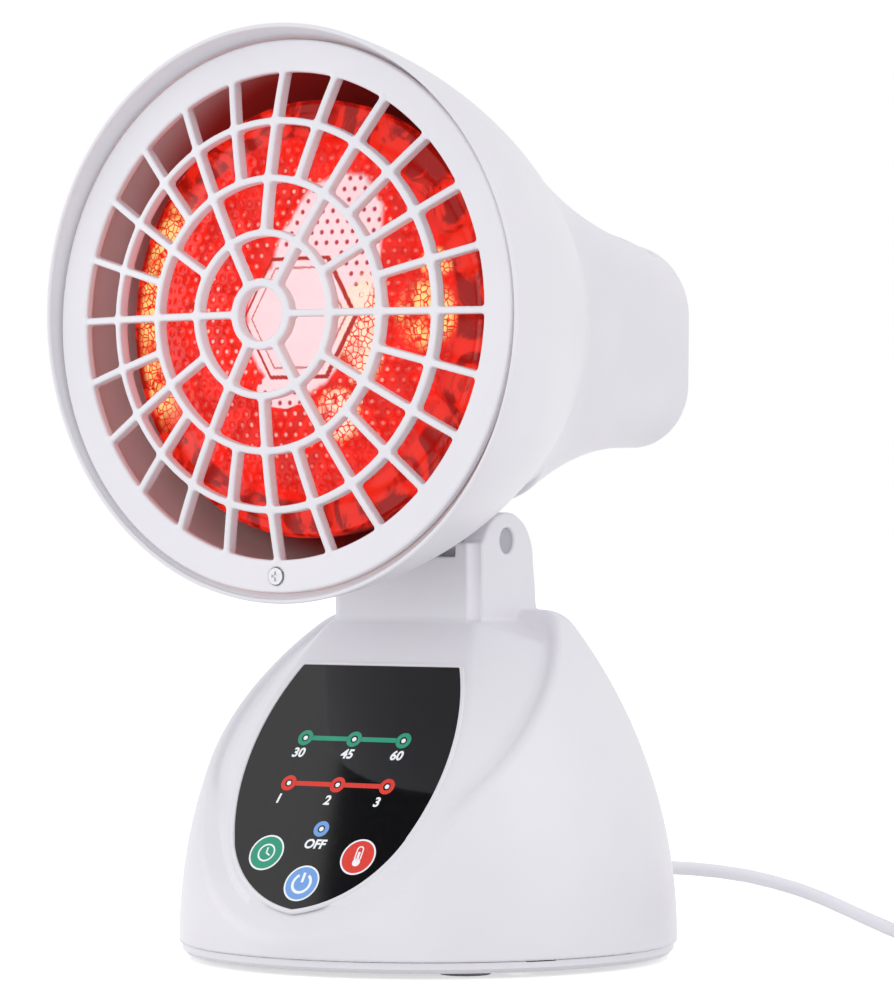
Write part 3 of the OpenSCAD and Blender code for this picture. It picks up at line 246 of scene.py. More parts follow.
def strip_faces(rows, count, closed=True, start=0):
    """Quads between neighbouring rows of count points each."""
    return [
        tuple(start + n for n in (i * count + j, i * count + k, (i + 1) * count + k, (i + 1) * count + j))
        for i in range(rows - 1) for j in range(count if closed else count - 1) for k in [(j + 1) % count]
    ]


def add_mesh(name, points, faces, body, normals=None, smooth=True):
    """A piece from corners in mm. It rides on body."""
    mesh = bpy.data.meshes.new(name)
    mesh.from_pydata((np.asarray(points) * MM).tolist(), [], [list(map(int, f)) for f in faces])
    mesh.update()
    mesh.polygons.foreach_set("use_smooth", [smooth] * len(mesh.polygons))
    if normals is not None:
        mesh.normals_split_custom_set_from_vertices(np.asarray(normals).tolist())
    piece = bpy.data.objects.new(name, mesh)
    bpy.context.scene.collection.objects.link(piece)
    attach(piece, body)
    return piece


# ---------------------------------------------------------------- base

BASE_R = 71.8
SHELL_Z = 4.8
SHOULDER = 11.0
DOME_R = 150.0
DOME_ARC = (BASE_R - DOME_R, 6.0, DOME_R - SHOULDER)
DOME_FLAT = 100.0 - SHOULDER
FACE_TILT = 33.3 * DEGREE
FACE_AT = np.array((0, -21.6, 88.0))
FACE_OUT = np.array((0, -math.cos(FACE_TILT), math.sin(FACE_TILT)))
FACE_DOWN = np.array((0, -math.sin(FACE_TILT), -math.cos(FACE_TILT)))
FACE_STEP = 0.8
FACE_MARGIN = 3.2
SCOOP_TILT = 47.3 * DEGREE
SCOOP_AT = np.array((0, -1.0, 91.0))
SCOOP_DEEP = 2.2
CREST_WIDE = 3.4
CREST_RISE = (1.2, 3.0)
TONGUE_BACK, TONGUE_LOW = 30, 8
EAR_OUT = 25.5
FORK_HALF = 18.0
NECK_FRONT = 13.8
NECK_BACK = 19.0
NECK_LOW, NECK_SHOULDER = 88.0, 97.0
NECK_GROOVE_R = 3.1
BACK_LEAN = (0.9914, 0.131)
EAR_Y, EAR_Z, EAR_R = 3.0, 114.4, 13.7
STEM_FRONT = 10.7
FRONT_WALL_TOP = 119.5
POCKET_FRONT, POCKET_FLOOR, FORK_FLOOR = 11.4, 109.5, 115.5
WIRE_WAY_Y, WIRE_WAY_R = 8.2, 3.0
PIVOT_Y, PIVOT_Z = 2.6, 120.0
CAP_SEAT_R = 3.7
CAP_SEAT_X = 20.5
BELL_ROOM = 0.7
TILTS = (-8, 4, 16, 28, 40)


def panel_field(u, v):
    """Distance from the panel's outline, u across and v down the control face."""
    wide = both(np.hypot(np.abs(u) + 36.2, v - 35.0) - 70.0, 4.4 - v, 0.1)
    tip = np.hypot(np.abs(u) + 5.3, v - 47.0) - 37.0
    return np.where(v <= 60, wide, tip)


def outline(out, count=240):
    """Points of the panel's outline, moved outwards by out."""
    turn = np.linspace(0, 2 * math.pi, count, endpoint=False)
    near, far = np.zeros(count), np.full(count, 70.0)
    for _ in range(40):
        middle = (near + far) / 2
        inside = panel_field(middle * np.sin(turn), 40 + middle * np.cos(turn)) < out
        near, far = np.where(inside, middle, near), np.where(inside, far, middle)
    return near * np.sin(turn), 40 + near * np.cos(turn)


def on_face(u, v, h):
    u, v, h = np.broadcast_arrays(u, v, h)
    return FACE_AT + u[..., None] * np.array((1.0, 0, 0)) + v[..., None] * FACE_DOWN + h[..., None] * FACE_OUT


def dome_field(r, z, out=0.0):
    ax, az, ar = DOME_ARC
    corner_z = DOME_FLAT
    corner_r = ax + math.sqrt(ar ** 2 - (corner_z - az) ** 2)
    nx, nz = (corner_r - ax) / ar, (corner_z - az) / ar
    side = np.hypot(r - ax, z - az) - ar
    along = (r - corner_r) / nx
    up = z - corner_z - along * nz
    round_part = (along > 0) & (up > 0)
    return np.where(round_part, np.hypot(r - corner_r, z - corner_z), np.maximum(side, z - corner_z)) - SHOULDER - out


def face_field(y, z):
    return (y - FACE_AT[1]) * FACE_OUT[1] + (z - FACE_AT[2]) * FACE_OUT[2]


def scoop_field(y, z):
    return -(y - SCOOP_AT[1]) * math.cos(SCOOP_TILT) + (z - SCOOP_AT[2]) * math.sin(SCOOP_TILT)


def tongue_planes():
    """Planes of the raised form that carries the control face."""
    rows = []
    u, v = outline(FACE_MARGIN, 60)
    rows.extend(on_face(u, v, 0.0).tolist())
    rows.extend(on_face(u, v, -3.0).tolist())
    scoop_down = np.array((0, -math.sin(SCOOP_TILT), -math.cos(SCOOP_TILT)))
    scoop_out = np.array((0, -math.cos(SCOOP_TILT), math.sin(SCOOP_TILT)))
    for w in np.linspace(0, 56, 15):
        y, z = (SCOOP_AT + scoop_down * w - scoop_out * SCOOP_DEEP)[1:]
        r = np.linspace(0, 80, 801)
        reach = r[dome_field(r, np.full_like(r, z), -CREST_WIDE) < 0]
        if len(reach) and reach[-1] > abs(y):
            x = math.sqrt(reach[-1] ** 2 - y ** 2)
            rows.extend([(-x, y, z), (x, y, z)])
    rows.extend([(sx * EAR_OUT, y, NECK_SHOULDER) for sx in (-1, 1) for y in (-NECK_FRONT, NECK_BACK)])
    rows.extend([(sx * EAR_OUT, NECK_BACK, 70.0) for sx in (-1, 1)])
    hull = bmesh.new()
    for row in rows:
        hull.verts.new(row)
    bmesh.ops.convex_hull(hull, input=hull.verts)
    hull.normal_update()
    centre = Vector((0, -20, 70))
    planes = {}
    for f in hull.faces:
        n = f.normal if f.normal.dot(f.verts[0].co - centre) > 0 else -f.normal
        if f.calc_area() < 0.02 or n.dot(Vector(FACE_OUT)) > 0.9985:
            continue
        planes[tuple(round(c, 2) for c in n)] = (n[0], n[1], n[2], n.dot(f.verts[0].co))
    hull.free()
    return np.array(list(planes.values()))


TONGUE = tongue_planes()
print("tongue planes", len(TONGUE))
SOFT = 0.35


def tongue_field(x, y, z):
    flat = np.full(x.shape, -60.0)
    for nx, ny, nz, d in TONGUE:
        np.maximum(flat, nx * x + ny * y + nz * z - d, out=flat)
    total = np.zeros(x.shape)
    for nx, ny, nz, d in TONGUE:
        total += np.exp((nx * x + ny * y + nz * z - d - flat) / SOFT)
    return flat + SOFT * np.log(total) - 0.25


def neck_field(x, y, z):
    """Neck and ears, closed at the front up to the bell."""
    across = np.abs(x)
    plan = both(across - EAR_OUT, np.maximum(-NECK_FRONT - y, y - NECK_BACK), 0.8)
    plan = without(plan, np.hypot(across - EAR_OUT, y + NECK_FRONT) - NECK_GROOVE_R, 0.4)
    back = np.maximum(y - NECK_BACK, BACK_LEAN[0] * (y - NECK_BACK) + BACK_LEAN[1] * (z - NECK_SHOULDER))
    ear = np.hypot(y - EAR_Y, z - EAR_Z) - EAR_R
    stem = np.maximum(np.maximum(-STEM_FRONT - y, back), z - EAR_Z)
    front = np.maximum(np.maximum(-NECK_FRONT - y, y - EAR_Y), z - FRONT_WALL_TOP)
    side = either(np.minimum(ear, stem), front, 1.0)
    return both(both(plan, side, 0.9), NECK_LOW - z, 0.5)


BELL_ARC_R = 185.0
BELL_ARC_OUT, BELL_ARC_S = 104.2, 21.0


def bell_field(r, s):
    return np.hypot(r + BELL_ARC_OUT, s + BELL_ARC_S) - BELL_ARC_R


HEAD_TILT = 1.1
PIVOT_BACK = 77.5
AXIS_H = 60.69
BELL_LEN = 104.95


def to_head(y, z, extra=0.0):
    """s, from the rim backwards, and h, up from the bell's axis, at a further tilt."""
    a = (HEAD_TILT + extra) * DEGREE
    dy, dz = y - PIVOT_Y, z - PIVOT_Z
    return PIVOT_BACK + dy * math.cos(a) - dz * math.sin(a), dy * math.sin(a) + dz * math.cos(a) - AXIS_H


def from_head(p):
    """World points of head points (x, s, h)."""
    x, s, h = np.asarray(p).T
    a = HEAD_TILT * DEGREE
    ds, dh = s - PIVOT_BACK, h + AXIS_H
    return np.stack([
        x, PIVOT_Y + ds * math.cos(a) + dh * math.sin(a), PIVOT_Z - ds * math.sin(a) + dh * math.cos(a)
    ], 1)


def turn_to_head(n):
    x, s, h = np.asarray(n).T
    a = HEAD_TILT * DEGREE
    return np.stack([x, s * math.cos(a) + h * math.sin(a), -s * math.sin(a) + h * math.cos(a)], 1)


def fork_field(x, y, z):
    """What is cut out between the ears, for the caps and for the wires."""
    across = np.abs(x)
    pocket = np.maximum(np.maximum(across - FORK_HALF, -POCKET_FRONT - y), POCKET_FLOOR - z)
    slot = np.maximum(across - FORK_HALF, FORK_FLOOR - z)
    cut = np.minimum(pocket, slot)
    seat = np.maximum(np.hypot(y - PIVOT_Y, z - PIVOT_Z) - CAP_SEAT_R, CAP_SEAT_X - across)
    way = np.maximum(np.hypot(x, y - WIRE_WAY_Y) - WIRE_WAY_R, NECK_SHOULDER - z)
    return np.minimum(np.minimum(cut, seat), way)


def base_field(x, y, z):
    """Dome with the scooped front, the raised form of the control face, the neck and room for the head."""
    r = np.hypot(x, y)
    dome = both(dome_field(r, z), SHELL_Z - z, 0.7)
    crest = smooth_step((-dome - CREST_RISE[0]) / CREST_RISE[1])
    form = both(dome, scoop_field(y, z) + crest, 1.1)
    form = both(form, face_field(y, z) + FACE_STEP, 1.2)
    near = (y < TONGUE_BACK) & (z > TONGUE_LOW)
    tongue = np.full(x.shape, 30.0)
    tongue[near] = tongue_field(x[near], y[near], z[near])
    tongue = both(np.maximum(tongue, 20 - z), face_field(y, z), 0.9)
    form = either(form, both(tongue, dome_field(r, z, 0.4), 1.0), 1.4)
    high = z > 84
    if not high.any():
        return form
    xh, yh, zh = x[high], y[high], z[high]
    top = either(form[high], neck_field(xh, yh, zh), 1.2)
    top = without(top, fork_field(xh, yh, zh), 0.6)
    for extra in TILTS:
        s, h = to_head(yh, zh, extra)
        bell = bell_field(np.hypot(xh, h), s) - BELL_ROOM
        top = without(top, np.maximum(bell, np.maximum(20 - s, s - BELL_LEN)), 0.3)
    form[high] = top
    return form


STEP_BASE = 0.8
points, faces, normals = skin(base_field, (-74.0, -74.0, 3.0), (74.0, 74.0, 131.0), STEP_BASE)
print("base", len(points))
base_cover = add_mesh("base_cover", points, faces, "base", normals)
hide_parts("base_shell")

# rim around the black panel: a section swept along its outline
RIM_SECTION = [
    (0.02, -0.3), (0.02, 0.26), (0.1, 0.4), (0.26, 0.49), (0.5, 0.52), (0.78, 0.49),
    (0.98, 0.4), (1.12, 0.22), (1.2, 0.02), (1.3, -0.3),
]


def loft(rows, name, body="base"):
    """A piece from closed rows of points, each joined to the next."""
    return add_mesh(name, np.concatenate(rows), strip_faces(len(rows), len(rows[0])), body)


panel_rim = loft([on_face(*outline(d, 480), h) for d, h in RIM_SECTION], "panel_rim")

# ---------------------------------------------------------------- head

HALF_BOX = 31.0
BOX_END = 171.5
CORNER = 19.0
TOP_CORNER = 17.0
TOP_CORNER_GROWS = 6.0
FLARE_R, FLARE_END = 165.0, 168.0
BOX_START = 70.0
HOLD_R, HOLD_S, HOLD_LEAN = 53.9, 75.0, (0.2588, 0.968)
HOLD_ENDS, HOLD_FADE = 90.0, 0.8
WALL = 2.4
KNUCKLE_HALF = 17.0
KNUCKLE_R = 9.0
BELL_SPLIT = 66.0
BLEND_LEAST, BLEND_MORE = 0.5, 12.5
BLEND_LENGTH = 20.0
BLEND_LOW, BLEND_RISE = 48.0, 14.0


def box_field(x, s, h):
    """The squarish housing behind the bell: flat sides, top and bottom flaring forwards.
    Where it starts, it is held within a cone inside the bell."""
    tall = FLARE_R + HALF_BOX - np.sqrt(FLARE_R ** 2 - np.minimum(FLARE_END - s, 100.0).clip(0) ** 2)
    corner = np.where(h > 0, TOP_CORNER + TOP_CORNER_GROWS * smooth_step((s - 148.0) / 22.0), CORNER)
    qx = np.abs(x) - (HALF_BOX - corner)
    qh = np.abs(h) - (tall - corner)
    section = np.hypot(np.maximum(qx, 0), np.maximum(qh, 0)) + np.minimum(np.maximum(qx, qh), 0) - corner
    hold = (np.hypot(x, h) - HOLD_R + HOLD_LEAN[0] * (s - HOLD_S)) * HOLD_LEAN[1]
    section = both(section, hold - HOLD_FADE * np.maximum(s - HOLD_ENDS, 0), 1.0)
    section = both(section, BOX_START - s, 0.5)
    bevel = (section + s - BOX_END + 2.4) * 0.7071
    return both(both(section, s - BOX_END, 0.3), bevel, 0.6)


def head_outer(x, s, h):
    """Bell and housing. Their blend starts behind the split and stays clear of the ears below."""
    r = np.hypot(x, h)
    bell = both(bell_field(r, s), s - BELL_LEN, 1.0)
    share = smooth_step((s - BELL_SPLIT - 1.0) / BLEND_LENGTH) * smooth_step((h + BLEND_LOW) / BLEND_RISE)
    return melted(bell, box_field(x, s, h), BLEND_LEAST + BLEND_MORE * share)


SLOT_HALF = 1.5
TOP_PITCH = 7.0
TOP_SLOTS = (BELL_LEN + 7, 163.0)
TOP_SLOT_DEEP = 15.5
REAR_PITCH = 6
REAR_SKIN = 166.0


def slots_field(x, s, h):
    row = TOP_PITCH * np.round(x / TOP_PITCH).clip(-3, 3)
    top = np.maximum(np.abs(x - row) - SLOT_HALF, np.maximum(TOP_SLOTS[0] - s, s - TOP_SLOTS[1]))
    top = np.maximum(top, TOP_SLOT_DEEP - h)
    level = REAR_PITCH * np.round(h / REAR_PITCH).clip(-3, 3)
    rear = np.maximum(np.abs(h - level) - SLOT_HALF, np.abs(x) - HALF_BOX / 2)
    return np.minimum(top, np.maximum(rear, REAR_SKIN - s))


def head_field(x, s, h):
    """The hollow housing from the split backwards, with its slots and the knuckle."""
    outer = head_outer(x, s, h)
    wall = both(outer, -(outer + WALL), 0.3)
    wall = np.maximum(wall, BELL_SPLIT - s)
    wall = without(wall, slots_field(x, s, h), 0.7)
    low = (h < -38) & (np.abs(s - PIVOT_BACK) < 16)
    if low.any():
        xl, sl, hl = x[low], s[low], h[low]
        barrel = np.hypot(sl - PIVOT_BACK, hl + AXIS_H) - KNUCKLE_R
        block = np.maximum(np.abs(sl - PIVOT_BACK) - KNUCKLE_R, np.maximum(-AXIS_H - hl, hl + 40.0))
        knuckle = both(np.abs(xl) - KNUCKLE_HALF, np.minimum(barrel, block), 0.6)
        knuckle = np.maximum(knuckle, -(outer[low] + 1.4))
        wall[low] = either(wall[low], knuckle, 1.2)
    return wall


STEP_HEAD = 0.9
points, faces, normals = skin(head_field, (-62.0, BELL_SPLIT - 1.5, -72.0), (62.0, 174.0, 64.0), STEP_HEAD)
print("head", len(points))
faces = faces[points[faces][:, :, 1].max(1) > BELL_SPLIT + 0.3]
head_cover = add_mesh("housing_cover", from_head(points), faces, "head", turn_to_head(normals))
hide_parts("rear_housing")

LIP_LEAD = 2.6
LIP_LEAN = math.tan(2.8 * DEGREE)
LIP_ROUND = 0.6
LIP_THIN = 1.3
LIP_R = 79.0
LEDGE = (3.1, 3.4, 4.8, 5.1)


def bell_radius(s, deeper=0.0):
    return np.sqrt((BELL_ARC_R - deeper) ** 2 - (s + BELL_ARC_S) ** 2) - BELL_ARC_OUT


def bell_rows():
    """Rows of the bell's wall: outside, round the leaning lip, and back along the inside."""
    turn = np.linspace(0, 2 * math.pi, 480, endpoint=False)
    lip = -LIP_LEAD - LIP_R * np.sin(turn) * LIP_LEAN
    start = lip + LIP_ROUND

    def row(radius, s):
        return np.stack([radius * np.cos(turn), s, radius * np.sin(turn)], 1)

    rows = [row(bell_radius(BELL_SPLIT + 0.8) - 0.06 + 0 * turn, 0 * turn + BELL_SPLIT + 0.8)]
    for share in np.linspace(0, 1, 30) ** 0.8:
        s = BELL_SPLIT + (start - BELL_SPLIT) * share
        rows.append(row(bell_radius(s), s))
    outer, inner = bell_radius(start) - LIP_ROUND, bell_radius(start, LIP_THIN) + LIP_ROUND
    for a in np.linspace(15, 90, 6) * DEGREE:
        rows.append(row(outer + LIP_ROUND * np.cos(a), start - LIP_ROUND * np.sin(a)))
    for a in np.linspace(90, 0, 6) * DEGREE:
        rows.append(row(inner - LIP_ROUND * np.cos(a), start - LIP_ROUND * np.sin(a)))
    for share in (0.0, 0.2, 0.45, 0.75, 1.0):
        s = start + 0.2 + (LEDGE[0] - start - 0.2) * share
        rows.append(row(bell_radius(s, LIP_THIN + (WALL - LIP_THIN) * share), s))
    ledge = GRILLE_R - 4.0
    for radius, s in zip((ledge + 0.3, ledge, ledge, ledge + 0.3), LEDGE):
        rows.append(row(0 * turn + radius, 0 * turn + s))
    for s in [LEDGE[3], LEDGE[3] + 0.3, *np.linspace(8, BELL_SPLIT + 0.8, 20)]:
        rows.append(row(bell_radius(0 * turn + s, WALL), 0 * turn + s))
    return rows


GRILLE_R = 76.3
BELL_MIDDLE_Z = 182.5
LEDGE_Y = -72.5
bell_cover = loft([from_head(row) for row in bell_rows()], "bell_cover", "head")
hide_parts("bell_shell")


def faces_inwards(face):
    """True for the bell's faces behind the grille's ledge that look at its axis."""
    x, y, z = face.center
    return face.normal[0] * x + face.normal[2] * (z - BELL_MIDDLE_Z * MM) < 0 and y > LEDGE_Y * MM


inner_faces = np.array([faces_inwards(face) for face in bell_cover.data.polygons])

# ---------------------------------------------------------------- grille

RINGS = (53.6, 37.5, 22.4)
OPEN_R = 67.3
BULGE = 9.4
BULGE_R = (OPEN_R ** 2 + BULGE ** 2) / (2 * BULGE)
HUB_R, HUB_HOLE = 9.85, 7.4
BAR_HALF = 1.0
BAR_DEEP = 4.0
SCREW_R = 71.8


def spokes_field(x, h, r, count, start, end):
    turn = 2 * math.pi / count
    a = np.arctan2(h, x)
    a = a - turn * np.round(a / turn)
    return np.maximum(np.maximum(np.abs(r * np.sin(a)) - BAR_HALF, start - r), r - end)


def grille_field(x, s, h):
    """Rim, rings, spokes and hub. The bars bulge forwards."""
    r = np.hypot(x, h)
    bars = np.abs(r - RINGS[0]) - BAR_HALF
    for ring in RINGS[1:]:
        bars = np.minimum(bars, np.abs(r - ring) - BAR_HALF)
    bars = either(bars, spokes_field(x, h, r, 24, RINGS[1], OPEN_R + 1), 1.0)
    bars = either(bars, spokes_field(x, h, r, 12, RINGS[2], RINGS[1]), 1.0)
    bars = either(bars, spokes_field(x, h, r, 6, 0, RINGS[2]), 1.0)
    bars = either(bars, r - HUB_R, 0.8)
    bars = without(bars, r - HUB_HOLE, 0.4)
    front = BULGE_R - BULGE - np.sqrt(np.maximum(BULGE_R ** 2 - r ** 2, 1))
    bars = both(bars, np.abs(s - front - BAR_DEEP / 2) - BAR_DEEP / 2, 0.6)
    rim = both(np.maximum(OPEN_R - r, r - GRILLE_R), np.abs(s - 1.5) - 1.5, 0.7)
    form = either(rim, both(bars, r - OPEN_R - 1.5, 0.3), 0.9)
    return without(form, np.maximum(np.hypot(x, h + SCREW_R) - 2.6, s - 0.8), 0.3)


STEP_GRILLE = 0.6
points, faces, normals = skin(grille_field, (-77.5, -10.6, -77.5), (77.5, 5.0, 77.5), STEP_GRILLE)
print("grille", len(points))
grille = add_mesh("grille_disc", from_head(points), faces, "head", turn_to_head(normals))
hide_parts("front_grille")

# ---------------------------------------------------------------- bulb front

LENS_R = 61.0
LENS_FRONT = 9.5
LENS_SAG = 422.5
HEXAGON_R = 19.0
DIMPLE_PITCH = 3.4
STIPPLE_R = 50.5
LENS_TURNS = 57.0
RIM_ROWS = (
    (57.2, 0.1), (57.8, 0.3), (58.6, 0.35), (59.4, 0.4), (60.0, 0.5), (60.5, 0.7), (60.8, 1.0), (60.95, 1.4),
    (LENS_R, 1.9), (LENS_R, 4.5), (60.4, 5.2),
)


def hexagon_distance(x, h):
    a = np.arctan2(h, x)
    a = a - math.pi / 3 * np.round(a / (math.pi / 3) - 0.5) - math.pi / 6
    return np.hypot(x, h) * np.cos(a) - HEXAGON_R * math.cos(math.pi / 6)


def dimples(x, h):
    """Round dimples on a hexagonal lattice, about 1 in the middle of each."""
    row = DIMPLE_PITCH * math.sqrt(3)
    best = np.full(x.shape, 9.0)
    for ox, oh in ((0, 0), (DIMPLE_PITCH / 2, row / 2)):
        dx = x - ox - DIMPLE_PITCH * np.round((x - ox) / DIMPLE_PITCH)
        dh = h - oh - row * np.round((h - oh) / row)
        best = np.minimum(best, np.hypot(dx, dh))
    return smooth_step(1 - best / 1.35)


def lens_surface():
    """The bulb's front: a shallow bowl with a sunk hexagon and dimples, turned down at its rim."""
    rim_r, rim_deep = zip(*RIM_ROWS)
    r = np.concatenate([np.arange(0.4, LENS_TURNS, 0.55), rim_r])
    deep = np.concatenate([np.zeros(len(r) - len(RIM_ROWS)), rim_deep])
    turn = np.linspace(0, 2 * math.pi, 512, endpoint=False)
    rr, aa = np.meshgrid(r, turn, indexing="ij")
    x, h = rr * np.cos(aa), rr * np.sin(aa)
    s = LENS_FRONT + np.minimum(rr, LENS_TURNS) ** 2 / (2 * LENS_SAG) + deep[:, None]
    edge = hexagon_distance(x, h)
    s = s - 0.7 * smooth_step((0.6 - edge) / 1.2) + 0.5 * smooth_step(1 - np.abs(edge + 1.6) / 1.0)
    stipple = smooth_step((STIPPLE_R - rr) / 1.5) * smooth_step((edge - 1.5) / 1.0)
    s = s + 0.28 * dimples(x, h) * stipple
    count = len(turn)
    rows = np.stack([x, s, h], -1).reshape(-1, 3)
    centre = np.array([[0, LENS_FRONT - 0.7, 0]])
    n = len(rows)
    faces = [
        (i * count + j, (i + 1) * count + j, (i + 1) * count + (j + 1) % count, i * count + (j + 1) % count)
        for i in range(len(r) - 1) for j in range(count)
    ]
    faces += [(n, j, (j + 1) % count) for j in range(count)]
    return np.concatenate([rows, centre]), faces


points, faces = lens_surface()
bulb_front = add_mesh("bulb_front", from_head(points), faces, "head")
lens_x, lens_h = points[:, 0], points[:, 2]
lens_r = np.hypot(lens_x, lens_h)
hexagon = hexagon_distance(lens_x, lens_h)


def patch(x, h, wide, tall, lean=0.0):
    """About 1 inside an ellipse round (x, h) on the lens, 0 outside; its long axis leans to the right."""
    dx, dh = lens_x - x, lens_h - h
    c, s = math.cos(lean * DEGREE), math.sin(lean * DEGREE)
    return smooth_step((1.2 - np.hypot((dx * c - dh * s) / wide, (dx * s + dh * c) / tall)) / 0.45)


lens_turn = np.abs(np.arctan2(lens_h - 4, -lens_x)) / DEGREE
# Marks on the lens. The glow patch, the glint patch and the caustics are painted light, not the glass's own colour.
MARKS = {
    "stipple": dimples(lens_x, lens_h) * smooth_step((STIPPLE_R - lens_r) / 1.5) * smooth_step(hexagon - 1.2),
    "hexagon_line": np.maximum(
        smooth_step(1.3 - np.abs(hexagon) / 0.8), 0.8 * smooth_step(1.2 - np.abs(hexagon + 2.6) / 0.6)
    ),
    "lens_r": lens_r,
    "frosted": np.maximum(np.maximum(patch(8, 14, 17, 27, 22), patch(-1, -2, 17, 19)), patch(-6, -20, 9, 5)),
    "pricked": patch(0, 2, 40, 42),
    # painted light: the filament's yellow caustics, left, right and in the middle
    "gold_left": smooth_step((5.5 - np.abs(lens_r - 54.5)) / 3) * smooth_step((40 - lens_turn) / 12),
    "gold_right": np.maximum(patch(41, 0, 9, 9), patch(44, 14, 5, 4)),
    "gold_middle": np.maximum(patch(21, -4, 7, 15), patch(13, -27, 7, 7)),
}
for mark, values in MARKS.items():
    bulb_front.data.attributes.new(mark, "FLOAT", "POINT").data.foreach_set("value", values)
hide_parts("bulb_lens")

# ---------------------------------------------------------------- print on the panel

PRINT_H = 0.11
PRINT_T = 0.05


def disc(u, v, r_in, r_out, height=PRINT_H, count=48):
    """A flat ring of ink."""
    turn = np.linspace(0, 2 * math.pi, count, endpoint=False)
    return [
        on_face(u + r * np.cos(turn), v + r * np.sin(turn), h)
        for r, h in ((r_in, height), (r_in, height + PRINT_T), (r_out, height + PRINT_T), (r_out, height))
    ]


def ribbon(points, half, height=PRINT_H):
    """A flat band of ink along points (u, v)."""
    p = np.asarray(points, float)
    way = np.gradient(p, axis=0)
    way /= np.linalg.norm(way, axis=1)[:, None]
    side = np.stack([-way[:, 1], way[:, 0]], 1) * half
    left, right = p + side, p - side
    return [
        on_face(q[:, 0], q[:, 1], h)
        for q, h in ((left, height), (left, height + PRINT_T), (right, height + PRINT_T), (right, height))
    ]


class Ink:
    """Collects the prints of one colour into one thin mesh."""

    def __init__(self):
        self.points, self.faces = [], []

    def rows(self, rows, closed):
        start = sum(len(p) for p in self.points)
        self.points.extend(rows)
        self.faces.extend(strip_faces(len(rows), len(rows[0]), closed, start))
        return self

    def ring(self, u, v, r_in, r_out):
        return self.rows(disc(u, v, r_in, r_out), True)

    def band(self, points, half):
        return self.rows(ribbon(points, half), False)

    def finish(self, name, slot):
        return add_mesh(name, np.concatenate(self.points), self.faces, "base", smooth=False)


LIGHT_PITCH = 16.8
TIMER_V, HEAT_V, OFF_V = 28.7, 43.6, 57.9
PADS = {"timer_pad": (-15.6, 66.2), "heat_pad": (15.6, 66.2), "power_pad": (0, 75.3)}
DOT_IN, DOT_OUT = 1.2, 2.5
PAD_LINE = (5.15, 5.65)
FIGURE, OFF_SIZE = 4.1, 4.0


def light_row(v, name, slot):
    ink = Ink()
    for i in (-1, 0, 1):
        ink.ring(i * LIGHT_PITCH, v, DOT_IN, DOT_OUT)
    for i in (-1, 0):
        a, b = i * LIGHT_PITCH + DOT_OUT - 0.2, (i + 1) * LIGHT_PITCH - DOT_OUT + 0.2
        ink.band([(a, v), ((a + b) / 2, v), (b, v)], 0.75)
    return ink.finish(name, slot)


timer_print = light_row(TIMER_V, "timer_print", "print_green")
heat_print = light_row(HEAT_V, "heat_print", "print_red")
off_print = Ink().ring(0, OFF_V, DOT_IN, DOT_OUT).finish("off_print", "print_blue")

white_ink = Ink()
for pad_u, pad_v in PADS.values():
    white_ink.ring(pad_u, pad_v, *PAD_LINE)


def arc(u, v, r, start, end, count=24):
    turn = np.linspace(start * DEGREE, end * DEGREE, count)
    return [(u + r * math.sin(a), v - r * math.cos(a)) for a in turn]


def line(*ends):
    (a, b), (c, d) = ends
    return [(a, b), ((a + c) / 2, (b + d) / 2), (c, d)]


def pictograms(ink):
    """A clock, a thermometer and the power sign on their pads."""
    u, v = PADS["timer_pad"]
    ink.ring(u, v, 2.35, 2.85)
    ink.band(line((u, v + 0.2), (u, v - 1.7)), 0.24)
    ink.band(line((u - 0.1, v), (u + 1.3, v + 0.8)), 0.24)
    u, v = PADS["heat_pad"]
    ink.ring(u, v + 1.7, 0.02, 1.25)
    ink.band(line((u, v + 1.2), (u, v - 1.6)), 0.36)
    ink.band(arc(u, v - 2.3, 0.95, -90, 90, 12), 0.2)
    for side in (-1, 1):
        ink.band(line((u + side * 0.95, v - 2.3), (u + side * 0.95, v + 0.75)), 0.2)
    u, v = PADS["power_pad"]
    ink.band(arc(u, v, 2.9, 32, 328, 40), 0.42)
    ink.band(line((u, v - 3.4), (u, v - 0.3)), 0.42)


pictograms(white_ink)
panel_lines = white_ink.finish("panel_lines", "light_pipe")


def numeral(name, words, u, v, size):
    """Slanted figures printed on the panel, centred on (u, v)."""
    data = bpy.data.curves.new(name, "FONT")
    data.body = words
    data.size = size * MM
    data.align_x, data.align_y = "CENTER", "CENTER"
    data.shear = 0.14
    data.extrude = PRINT_T / 2 * MM
    data.offset = 0.13 * MM
    data.resolution_u = 6
    text = bpy.data.objects.new(name, data)
    bpy.context.scene.collection.objects.link(text)
    place = Matrix((
        (1, -FACE_DOWN[0], FACE_OUT[0]), (0, -FACE_DOWN[1], FACE_OUT[1]), (0, -FACE_DOWN[2], FACE_OUT[2]),
    )).to_4x4()
    place.translation = Vector(on_face(np.float64(u), np.float64(v), np.float64(PRINT_H + PRINT_T / 2)) * MM)
    text.matrix_world = place
    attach(text, "base")
    return text


figures = [
    numeral(f"figure_{words}", words, column * LIGHT_PITCH - left, v, size)
    for words, column, left, v, size in (
        ("30", -1, 0.6, TIMER_V + 5.0, FIGURE), ("45", 0, 0.6, TIMER_V + 5.0, FIGURE),
        ("60", 1, 0.6, TIMER_V + 5.0, FIGURE),
        ("1", -1, 1.6, HEAT_V + 5.2, FIGURE), ("2", 0, 1.6, HEAT_V + 5.2, FIGURE), ("3", 1, 1.6, HEAT_V + 5.2, FIGURE),
        ("OFF", 0, 0.4, OFF_V + 5.0, OFF_SIZE),
    )
]

# ---------------------------------------------------------------- finishes


